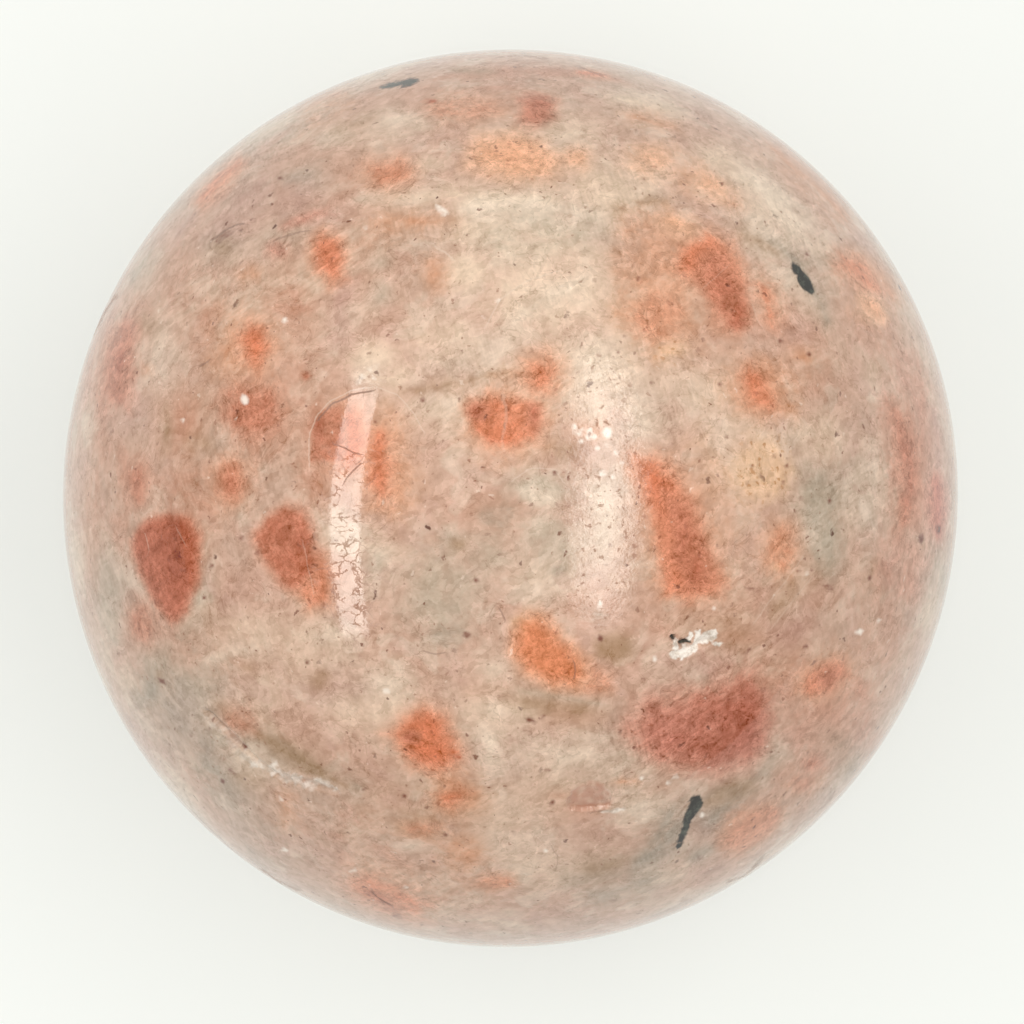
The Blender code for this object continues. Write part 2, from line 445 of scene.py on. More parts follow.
# %% [markdown]
# ## The marks in the stone
#
# The crystal is clouded: cream, grey, mauve and tan areas fade into each other, and grains full of
# hematite flakes show orange, brick red or rose. Some lie deep and look soft, and some are cut by the
# surface and have a crisp edge. Noise alone would give such a stone, but not this one, so each mark is laid
# one by one, as a painter would: an oval or an outline, how soft its edge is and how strong it is. What is
# stored at each point of the mesh is only how far inside a mark it lies, and the material breaks that edge
# into grains.

# %% The clouds: east, north, half length, half width, soft edge, strength, and a turn where there is one
CLOUDS = {
    "milk": (
        (-5.5, 22.4, 1.4, 0.8, 0.6, 0.4), (-2.8, 15.2, 2, 1.8, 0.6, 0.8), (-9.2, 9.4, 2, 1.4, 0.5, 0.8),
        (0, 20, 4.5, 1.4, 0.8, 0.95), (-6.5, 20.3, 2.4, 0.9, 0.7, 0.7), (1.5, 16.8, 5, 2.8, 1.6, 0.7),
        (9, 26.4, 3, 1.1, 0.8, 0.6, -15), (8.4, 20.8, 2, 1.1, 0.8, 0.6), (-3, 20.4, 2.4, 1, 0.8, 0.6),
        (-1.8, -14.6, 2.6, 2, 1, 0.5), (20.6, 4, 2, 2, 0.9, 0.4), (3, 14, 6, 5, 2, 0.6),
        (6.5, 20.5, 4, 3.2, 1.5, 0.75), (15, 21.8, 3.6, 1.7, 1, 0.6, -38), (5.5, 9, 5, 3, 1.5, 0.5),
        (-8, 8, 2.2, 1.6, 1, 0.55), (-4.5, 11, 3, 2.2, 1.4, 0.35), (12.5, 7.5, 3.8, 2.6, 1.5, 0.45, -10),
        (15.5, 3.2, 2.8, 3.2, 1.2, 0.4), (-13, -10, 3.2, 2.4, 1.4, 0.3), (-9.5, -14, 3.4, 2.4, 1.3, 0.4),
        (2, 24.6, 4.5, 1.6, 1.2, 0.4), (-9.5, 24.6, 2.6, 1.2, 1, 0.25, 15), (2.5, -25, 3.4, 1.6, 1.2, 0.25),
        (8, 12, 2.6, 4, 1.2, 0.4), (0.5, 18, 5.6, 2.6, 1.2, 0.65), (-17, -9, 2.6, 1.6, 1, 0.25),
        (1, 13.4, 2.4, 1.6, 0.5, 0.6, 35), (17.5, 19.5, 3, 1.4, 0.9, 0.45, -42),
    ),
    "pink": (
        (17.2, -21.6, 1.8, 1.2, 0.5, 0.6, 35), (18.5, -18.5, 1.6, 1.4, 0.6, 0.5, 40),
        (15.6, -9.4, 2.6, 1.4, 0.5, 0.8), (27.3, -2.4, 1, 2.6, 0.4, 0.8), (8.8, 15.8, 1.3, 2.4, 0.7, 0.2),
        (23.6, -13, 1.8, 1.8, 0.8, 0.7), (27.5, 7.2, 0.9, 3, 0.6, 0.7, 8), (16, -10.2, 2.4, 1.2, 0.8, 0.5),
        (15.2, 3.4, 1.4, 1.2, 0.8, 0.4), (-16.5, 10, 4.6, 8, 2, 0.3), (-17, 6, 3, 4.6, 1.6, 0.4),
        (-21, 0.5, 3.2, 3.4, 1.6, 0.45), (-26.2, 0, 1.6, 5, 1, 0.45), (16, -10, 7, 5.5, 2.4, 0.45, -25),
        (21.2, -14.5, 4, 6, 2, 0.5, 20), (19, -20, 2.6, 2, 1.2, 0.35, 20),
        (15.2, -22.6, 2.4, 1.6, 1, 0.55, 20), (20.5, -4.5, 4, 4, 2, 0.2), (20, 9.5, 3, 3.6, 1.5, 0.35),
        (24.2, 12.2, 2, 3.2, 1.2, 0.35, 25), (27, 3, 1.3, 4.4, 0.8, 0.5, 4), (0, -13, 3.2, 1.8, 1.2, 0.25),
        (-10, -22, 3, 2.4, 1.5, 0.3, -10), (3, -20.6, 3, 1.4, 1, 0.3), (-1.5, -22.5, 3, 2.6, 1.5, 0.2),
        (-1, -1, 2.6, 1.6, 1, 0.3), (12.5, -9, 3.6, 2, 1.2, 0.35), (-13, 3, 2.2, 4.6, 1, 0.55),
        (3.8, -14.4, 2.2, 1, 0.9, 0.25, -10), (-15, -21, 2.4, 1.8, 1.2, 0.2, -20),
        (5, -7.6, 2, 1.4, 1, 0.3), (12.2, 13.6, 4, 5.6, 1.8, 0.25, 20),
        (-17.5, 20.5, 7, 2.6, 1.6, 0.25, 42), (-10.5, 25.8, 4.5, 1.6, 1, 0.3, 15),
        (-24.8, -8.6, 1.2, 1.4, 0.7, 0.6), (-20.5, -10.2, 2, 1.2, 0.8, 0.45),
        (24, 14.6, 2.2, 3, 1, 0.45, 30), (20, 21.4, 4.4, 0.9, 0.6, 0.6, -43), (-26.6, 4, 1.6, 3.6, 1, 0.3),
        (-3, 27, 6, 1.6, 0.9, 0.3), (25, -8, 2.2, 4, 1.2, 0.3), (24, -16, 1.8, 4.4, 1, 0.4, 35),
        (-6, -26, 6, 1.6, 1, 0.25, -14), (14, -25, 3, 1.2, 0.8, 0.4, 28), (-22, 5, 2.6, 3.6, 1.2, 0.75),
        (-21.6, -9.4, 2.4, 1.9, 0.8, 0.85), (-20, 12.2, 2.2, 2.4, 1, 0.6), (-15, 13.2, 3, 2.4, 1, 0.5),
        (16, -9, 3.4, 2.4, 1, 0.6), (-17, 17, 10, 7, 2, 0.3, 42), (1, 28.6, 7, 0.9, 0.5, 0.7),
        (3.2, -20, 1.4, 0.9, 0.7, 0.5), (26.8, -4, 1.4, 4, 0.8, 0.6), (-28, -2, 1, 5, 0.6, 0.45),
        (-27.3, 9, 1.2, 3.6, 0.8, 0.6, -14), (27.6, 6, 1.2, 5, 0.8, 0.5, 5), (-19.2, -11.2, 2, 1, 0.7, 0.5),
        (21.5, -15, 2.6, 3.4, 1, 0.8, 30), (27.4, -1, 1, 4, 0.6, 0.6), (-22, -10.5, 2.4, 2, 0.8, 0.6),
        (-24.5, 12, 1.6, 2.4, 0.8, 0.4, 30), (-27.4, 5, 1, 4, 0.6, 0.5), (-22, 0.5, 1.6, 2, 0.8, 0.5),
    ),
    "cream": (
        # Two of these are painted highlight rather than stone: the oval at -9.5, 8.4 is the glow past the top
        # of the narrow lamp's strip, and the one at 6.2, -1.6 evens out the broad lamp's highlight
        (0, 19.5, 4, 1.2, 0.4, 0.9), (-8, 20, 3, 0.9, 0.5, 0.5), (-9.5, 8.4, 1.4, 0.9, 0.5, 0.8, 20),
        (14.8, 2.2, 1.4, 1.8, 0.8, 0.5), (9, 5.5, 1.6, 2, 0.8, 0.5), (6.2, -1.6, 1.7, 3.4, 0.7, 0.7),
        (0, -14.2, 2.6, 1.5, 0.8, 0.6), (2, -2, 1.5, 1.3, 0.7, 0.6), (2.4, 13.3, 4.3, 1, 0.8, 0.6, 33),
        (-8, 25.3, 1.8, 1.2, 0.8, 0.5), (14.5, 3, 1.5, 2.4, 1, 0.4), (-1, -11.5, 1.8, 1.6, 0.8, 0.5),
        (-8.5, -12.5, 2.2, 1.6, 0.9, 0.5), (19, 18.5, 2, 1.3, 0.8, 0.6, -35),
        (16.4, 21.2, 1.8, 1, 0.8, 0.6, -35), (0.5, -22, 3.2, 2.4, 1.4, 0.3),
        (3.4, -17.2, 3.6, 1.6, 1.2, 0.4), (-1.3, -17, 1.6, 2.2, 0.9, 0.6),
        (-6.7, -23.3, 1.1, 0.4, 0.4, 0.7), (-23.5, 9.5, 1.3, 2.5, 0.8, 0.4), (8.6, -20.8, 2, 1.4, 1, 0.5),
        (5.8, 9.5, 2, 2, 1, 0.4), (-12, -9.2, 1.5, 0.8, 0.5, 0.4, 20), (-19, -10.6, 2.2, 1, 0.8, 0.4, 15),
        (9.4, 21.8, 1.6, 1, 0.7, 0.5), (2.1, 0.3, 1.7, 1.2, 0.22, 0.9),
        (17.4, 20.5, 2.4, 1.2, 0.5, 0.7, -40), (20.9, -2.2, 1.4, 1.7, 0.5, 0.5),
        (-12, 24.2, 1.6, 0.9, 0.5, 0.5, 20), (3, 18.8, 3.2, 1.2, 0.5, 0.5),
    ),
    "grey": (
        (-21, -12.6, 2, 1.4, 0.8, 0.5), (-21.4, -9, 1.4, 1.4, 0.8, 0.3), (2.2, 17.8, 4.6, 1.6, 1, 0.25, 5),
        (2, 0.8, 2.5, 1.2, 0.8, 0.5), (0.3, 1, 0.8, 0.8, 0.5, 0.6), (-4.5, -6.5, 4, 3.8, 1.6, 0.55),
        (-4.6, -9.2, 1.1, 0.9, 0.5, 0.8), (-9, -4.3, 0.7, 1, 0.5, 0.6), (-8.8, 15.7, 0.8, 0.6, 0.5, 0.6),
        (-8.7, 13.6, 0.8, 1.1, 0.5, 0.6), (-13.4, 21.6, 1.5, 1.1, 0.8, 0.5),
        (20.6, 0.2, 2.2, 2.2, 0.9, 0.6), (21.4, -3.4, 1.4, 2.4, 0.9, 0.5), (-20.9, -6, 0.5, 1.5, 0.4, 0.5),
        (17.5, -17, 1.3, 1.6, 0.7, 0.5), (3.5, -13.4, 3.2, 0.7, 0.5, 0.6, -8),
        (2.6, -3, 2.6, 2.2, 1.2, 0.4), (12.8, -12, 1.1, 0.7, 0.5, 0.5), (29.2, -6, 0.5, 4.5, 0.5, 0.5, 8),
        (-24.7, 15.5, 0.8, 1.6, 0.6, 0.6, -35), (-1.5, -4, 2.5, 2, 1.2, 0.45),
        (-27, -7, 1.2, 3.5, 0.8, 0.4, 8), (-15.5, 17.5, 2.4, 1.2, 0.9, 0.35, 30),
        (-23.5, -11, 1.8, 2, 1, 0.5),
    ),
    "slate": (
        (10.2, -22.2, 2.1, 1, 0.5, 0.7, 58), (-20.4, -16.2, 2, 1.6, 0.7, 0.6, -45),
        (14.6, -19.7, 2.6, 0.8, 0.5, 0.8, 20), (17.4, -21.4, 1.5, 0.9, 0.5, 0.6, 35),
        (12.8, -23.8, 1.4, 0.8, 0.5, 0.7, 30), (-22.2, -14.8, 3.6, 2.8, 1.3, 0.75, -52),
        (-19.4, -18.6, 3, 1.8, 1, 0.65, -45), (10.2, -23.2, 3.8, 1.4, 0.8, 0.8, 42),
        (7.6, -26.2, 3, 1.2, 0.8, 0.6, 18), (6, -25.3, 2.6, 1.1, 0.7, 0.5, 8),
        (12.2, -21.2, 1.6, 1.6, 0.8, 0.45), (14.2, -20.2, 2.6, 0.9, 0.8, 0.5, 20),
        (16.5, -18.8, 1.5, 0.8, 0.6, 0.45, 30), (20.6, 13.2, 0.7, 2.2, 0.5, 0.5, 25),
        (-16.5, -16.6, 3, 1, 0.7, 0.45, -38), (-11.5, -18.8, 2.4, 0.8, 0.6, 0.35, -18),
        (22.6, -17.4, 1, 2, 0.7, 0.3, 32), (-4.3, -9.3, 1.3, 1, 0.6, 0.35), (3.3, -4.8, 0.6, 0.4, 0.3, 0.4),
        (-3.8, -3, 1, 0.8, 0.4, 0.4), (-1, -1.2, 1.6, 1.2, 0.7, 0.35), (-19.3, 16.9, 1.4, 1.2, 0.6, 0.45),
        (21, -1.5, 1.5, 3.4, 0.8, 0.25), (18.4, 16.4, 2, 0.5, 0.4, 0.55, -38),
        (-14.4, 21.4, 1.2, 0.7, 0.4, 0.45), (14.4, -21, 2.8, 1.7, 0.6, 0.95, 35),
        (-24, -13, 1.6, 2.2, 0.7, 0.85, -40), (10.8, -22.8, 1.2, 0.8, 0.4, 0.9, 50),
        (-14.4, -17.4, 3.4, 0.7, 0.35, 0.7, -32), (6, -8, 0.5, 0.4, 0.3, 0.4),
    ),
    "mauve": (
        (-11.3, 12.8, 1.4, 3, 0.8, 0.55), (-11.5, -12.7, 2.5, 1.3, 1, 0.4),
        (-25.5, 5.2, 1.5, 1.2, 0.8, 0.6), (12.6, -11, 3.6, 1.8, 1.2, 0.4), (18, 11.2, 2.2, 1.4, 0.9, 0.5),
        (-18, 19.4, 4, 2.4, 1.2, 0.5, 45), (-14.5, 20, 3, 2, 1.2, 0.4, 30),
        (-21.7, 18.4, 0.7, 1.6, 0.5, 0.7, -40), (28.7, -0.4, 0.8, 2.8, 0.5, 1),
        (28.6, 3.6, 0.6, 3, 0.4, 0.8, 4), (23.5, 17, 1.2, 1, 0.6, 0.5, -40),
        (-11.5, 18.8, 3, 0.9, 0.7, 0.4), (18.4, -8.8, 2.6, 2, 1.2, 0.4), (-25, -17, 1, 2.2, 0.8, 0.5, 35),
        (13, -22.3, 1.2, 1, 0.7, 0.5, 20), (13.5, -25, 1.6, 0.7, 0.6, 0.6, 20),
        (-5.6, 7.4, 1.6, 0.9, 0.6, 0.45, 15), (4.6, 3.4, 2.4, 1, 0.7, 0.35),
        (16.6, -13.3, 0.8, 0.5, 0.3, 0.4),
    ),
    "tan": (
        (15.8, -21.9, 2.2, 1.2, 0.5, 0.45, 30), (14.8, -19.8, 2.2, 1, 0.4, 0.55, 25),
        (15.2, -9, 2.2, 1.3, 0.6, 0.2), (-2.5, 28.6, 1.8, 0.4, 0.3, 0.7), (-10.5, 25, 2, 0.8, 0.7, 0.4, 20),
        (3.5, 3.3, 1.5, 1, 0.6, 0.6), (7, -10.1, 1.6, 1.3, 0.35, 0.8), (6.2, -9.3, 0.4, 0.5, 0.3, 0.6),
        (-3.5, -3.2, 0.8, 0.6, 0.4, 0.5), (-11.6, -18.9, 1.2, 0.5, 0.4, 0.6, -20),
        (-18.4, -14.8, 2, 0.9, 0.5, 0.8, -35), (-14.8, -17.2, 3.6, 1, 0.5, 0.9, -32),
        (-16, -16.5, 2.2, 0.9, 0.7, 0.6, -35), (-13.2, -18.4, 1.3, 0.4, 0.25, 0.9, -8),
        (-14.6, -17.2, 1.4, 1, 0.7, 0.5), (6.1, -24.7, 2.2, 1.3, 0.7, 0.8, 10),
        (-4.5, 7.6, 3, 0.6, 0.5, 0.5, 12), (-0.8, 8.3, 1.6, 0.4, 0.4, 0.4, 8),
        (-5.7, -22.5, 1.7, 0.45, 0.2, 0.8, -4), (-6, -21.5, 1.9, 1, 0.8, 0.6),
        (-19.4, 16.7, 1, 0.9, 0.5, 0.6), (-17.4, -18.8, 1.6, 1, 0.7, 0.4, -20),
        (22.5, -17.3, 1.2, 2, 0.8, 0.5, 30), (-8.2, 21.6, 1.6, 0.7, 0.5, 0.4, 10),
        (9.5, 19.8, 1.2, 0.35, 0.3, 0.5), (7.4, 19.2, 0.9, 0.6, 0.4, 0.4),
        (16.8, 16.9, 1.8, 0.5, 0.4, 0.6, -30), (24.3, 8.6, 0.5, 0.6, 0.3, 0.7),
        (26.4, -0.8, 0.6, 1, 0.4, 0.7), (14.5, -20.2, 1.4, 0.8, 0.6, 0.5),
        (24.4, -4.6, 0.3, 0.9, 0.3, 0.6, -15), (27.7, -3.2, 0.3, 0.6, 0.3, 0.9),
        (-24.5, 11.5, 1, 1, 0.5, 0.5), (8.6, 13, 0.6, 0.5, 0.3, 0.5), (18.4, -6.9, 0.8, 2, 0.5, 0.4, -30),
        (-8.5, 6.2, 0.9, 0.6, 0.4, 0.4), (3, -14, 3.4, 1.1, 0.8, 0.5, -6), (-23.1, 4.7, 0.5, 1.9, 0.4, 0.6),
        (-20.8, 3.6, 1.3, 0.8, 0.6, 0.4), (-12.8, -12.3, 0.8, 0.7, 0.4, 0.7),
        (-17.6, -11.4, 0.5, 0.4, 0.3, 0.6), (-8.8, 4.6, 0.8, 1.2, 0.5, 0.8),
        (-8.9, 2.2, 0.9, 1.6, 0.6, 0.8), (-6.1, -22.2, 2, 0.8, 0.35, 0.7, -4),
        (-23.4, -12.1, 0.4, 0.6, 0.25, 0.8),
    ),
    "apricot": (
        (-7, 18.6, 3.4, 1, 0.8, 0.5, 2), (9.5, 25.2, 2.2, 0.7, 0.6, 0.4, -15), (9.5, 23, 1.5, 1, 0.6, 0.4),
        (12, 21.5, 1.5, 1.2, 0.7, 0.4, -30), (14.7, 20, 1.3, 0.8, 0.6, 0.5, -40),
        (7.8, 12.3, 1.5, 1.2, 0.8, 0.4), (10.4, 11.6, 2.2, 2, 0.8, 0.7), (10.6, 15.6, 3, 3.6, 1.4, 0.3, 20),
        (-7.6, 1.2, 1.6, 2.4, 0.9, 0.6), (-8.3, -0.6, 1.6, 0.8, 0.6, 0.6), (19.5, 9.5, 1, 0.6, 0.4, 0.6),
        (18.5, 6, 1.2, 0.8, 0.5, 0.5), (25, 14.3, 2.2, 0.9, 0.6, 0.6, -50),
        (20, 21.2, 4.2, 0.6, 0.5, 0.6, -43), (-24.4, 8.5, 0.5, 0.4, 0.3, 0.7),
        (5.3, 4.5, 1.2, 0.6, 0.6, 0.4), (-3.6, -19.4, 1.8, 1.2, 0.7, 0.7, -25),
        (-3, -24.3, 1.2, 1.6, 0.8, 0.5), (-1, -25.7, 1.3, 0.4, 0.3, 0.7), (-15, -21, 0.6, 1.3, 0.5, 0.7),
        (18, -3.5, 0.9, 1.1, 0.6, 0.4), (21.3, -12.2, 2.2, 1.7, 0.8, 0.6, 20),
        (20, -19.2, 1.4, 0.8, 0.5, 0.7, 20), (16.4, -22.3, 1.2, 1.3, 0.6, 0.7, 30),
        (7.8, -19.1, 0.9, 0.4, 0.3, 0.5), (-12.5, 26.4, 2, 0.8, 0.6, 0.4, 25),
        (12.5, -1, 3.2, 4.6, 1.4, 0.2, -20), (23.6, 15.5, 1.6, 0.8, 0.5, 0.7, -50),
        (-17.5, 15, 0.9, 0.5, 0.4, 0.7, 15), (-18, 10.2, 2.2, 2.8, 1, 0.4), (0, 5.2, 3.4, 2.8, 1.1, 0.5),
        (16.9, 7.3, 2.5, 2.3, 0.9, 0.8), (18.3, -3.5, 1.2, 1.7, 0.7, 0.4), (-5.1, 15.1, 1.1, 1.2, 0.6, 0.5),
        (9.8, 13, 2.4, 3, 1.2, 0.4), (24, 12.8, 1.4, 1, 0.5, 0.5, -45),
        (16.2, -22.5, 2.3, 1.3, 0.35, 0.8, 30), (-3.6, -19.8, 2.2, 1.5, 0.8, 0.6, -20),
        (-3, -23.9, 1.7, 1.6, 0.6, 0.6), (2.1, 8.3, 1.7, 1.6, 0.6, 0.6), (-8.2, 3, 1.8, 3.8, 0.9, 0.5),
    ),
    "ochre": (
        (16.9, 1.9, 2.1, 2.2, 0.7, 0.3), (17.9, -4.5, 0.3, 0.3, 0.2, 0.7), (1, -8.2, 1, 0.6, 0.5, 0.6),
        (11, 10, 1.2, 0.8, 0.6, 0.4),
    ),
}

# %% The grains full of hematite, in the same order
GRAINS = {
    "orange": (
        (-3, 26.1, 2.2, 0.7, 0.7, 0.15, -5), (5.4, 28.4, 1.2, 0.25, 0.2, 0.4, -8),
        (-0.9, -25.7, 1.3, 0.4, 0.4, 0.15), (-8.1, -26.7, 3, 1.3, 1, 0.28, -22),
        (-18.7, 1.1, 1.3, 1.8, 0.7, 0.5), (17.2, 12.9, 0.9, 1.8, 1, 0.4, 14),
        (2.1, 8.3, 1.3, 1.5, 0.9, 0.45), (16.6, 7.4, 1.9, 1.2, 0.8, 0.4, -60),
        (-8.1, 21.8, 1.7, 1.1, 0.8, 0.28, 8), (-8.9, 2.3, 1.3, 2.8, 0.8, 0.54),
        (-10.6, 4, 1.5, 2.8, 0.8, 0.6), (-3.8, -17, 0.5, 0.5, 0.2, 0.8), (18.3, -3.4, 0.9, 1.3, 0.8, 0.1),
        (-4, -20, 1.2, 0.8, 0.7, 0.4, 20), (9.3, 1.8, 1.1, 1.3, 0.6, 0.7), (-0.9, 23.3, 1.9, 1, 0.9, 0.25),
        (9.9, 12.2, 1.7, 1.6, 0.9, 0.15), (-5.9, -22.2, 1.4, 0.5, 0.6, 0.2),
        (9.6, 16, 1.8, 2.6, 1.2, -0.15, 10),
    ),
    # One grain, which has an outline of its own below
    "amber": (),
    "peach": (
        (24.3, 12.7, 1.1, 0.8, 0.4, 0.6, -45), (11.2, 18.4, 1.2, 0.7, 0.6, 0.4, -20),
        (4.4, 22.8, 1, 0.8, 0.5, 0.6), (9.4, 22.6, 1.6, 1, 0.8, 0.3), (13.4, 21, 1.3, 0.8, 0.6, 0.4, -30),
    ),
    "brick": (
        (16, -22.2, 2.2, 1.2, 0.5, -0.1, 30), (-26.4, 9.2, 0.9, 2.6, 0.6, 0.1, -12),
        (-2.2, 5.9, 0.6, 0.5, 0.4, 0.3), (-13.6, 8.2, 0.3, 0.3, 0.2, 0.8),
        (-3.6, -17.25, 0.36, 0.2, 0.1, 1, 10), (1.6, 5.6, 0.4, 0.7, 0.4, 0.4),
        (-6.6, -16.1, 0.6, 0.3, 0.3, 0.6), (-18.7, 0.9, 0.8, 1.1, 0.7, 0.4),
        (15.2, 12.4, 0.9, 1.3, 0.6, 0.5), (-17.4, 5.9, 2.2, 1.9, 1, 0.3), (-18.8, 6.6, 0.5, 0.9, 0.6, 0.3),
        (12.6, -4.4, 1, 1.6, 0.9, 0.4), (-24.6, -8.4, 0.9, 1.5, 1, 0.15), (-25, 1, 0.7, 1.6, 0.7, 0.25),
        (-5.4, 26.6, 0.6, 0.15, 0.1, 0.7), (20.3, -17.9, 0.8, 0.6, 0.5, 0.35, 20),
        (19.6, -19.2, 0.7, 0.5, 0.5, 0.2), (-18.1, -14.9, 1.1, 0.6, 0.8, 0.1, -20),
    ),
    "rose": (
        (27, -2.8, 1.6, 3.4, 0.8, -0.1), (27.2, 5, 1.4, 4.5, 0.8, -0.15, 5),
        (21.4, -14.8, 2.4, 3, 1, -0.2, 30), (-27, 9, 1.4, 3, 0.8, -0.2, -14),
        (28.7, -0.6, 0.8, 2.6, 0.4, 0.8, 3), (-15.6, 16.6, 0.7, 0.5, 0.5, 0.2),
        (-14, 18.6, 1.6, 0.3, 0.3, 0.2, 18),
    ),
    # Where the hematite is thickest, inside the grains above
    "core": (
        (-22.5, -3.6, 1.3, 2.6, 0.8, 0.6), (-14.8, -3, 1.2, 1.6, 0.8, 0.12, 20),
        (15.6, -15.4, 1.8, 1.4, 1.2, 0.05, 20), (13.6, -16.6, 1.4, 0.8, 0.9, 0.2),
        (13.4, -14, 1, 0.8, 0.7, 0.15), (11.9, -3.2, 0.5, 2.4, 0.6, 0.05, 12),
        (15, 12.9, 0.7, 1.5, 0.6, 0.05, 15), (15.2, 11.7, 0.8, 0.3, 0.2, 0.4),
        (-6.5, -16.1, 0.7, 0.3, 0.3, 0.5), (-2, 5.9, 0.5, 0.6, 0.5, 0.3), (1.7, 5.1, 0.4, 0.9, 0.5, 0.3),
        (1.7, 26.8, 0.9, 0.35, 0.3, 0.3), (-8.5, -26.9, 1.2, 0.25, 0.25, 0.5, -42),
        (-26.2, 9.1, 0.3, 0.8, 0.2, 0.4, -15), (-12.9, 4.4, 0.4, 1, 0.4, 0.3),
    ),
}

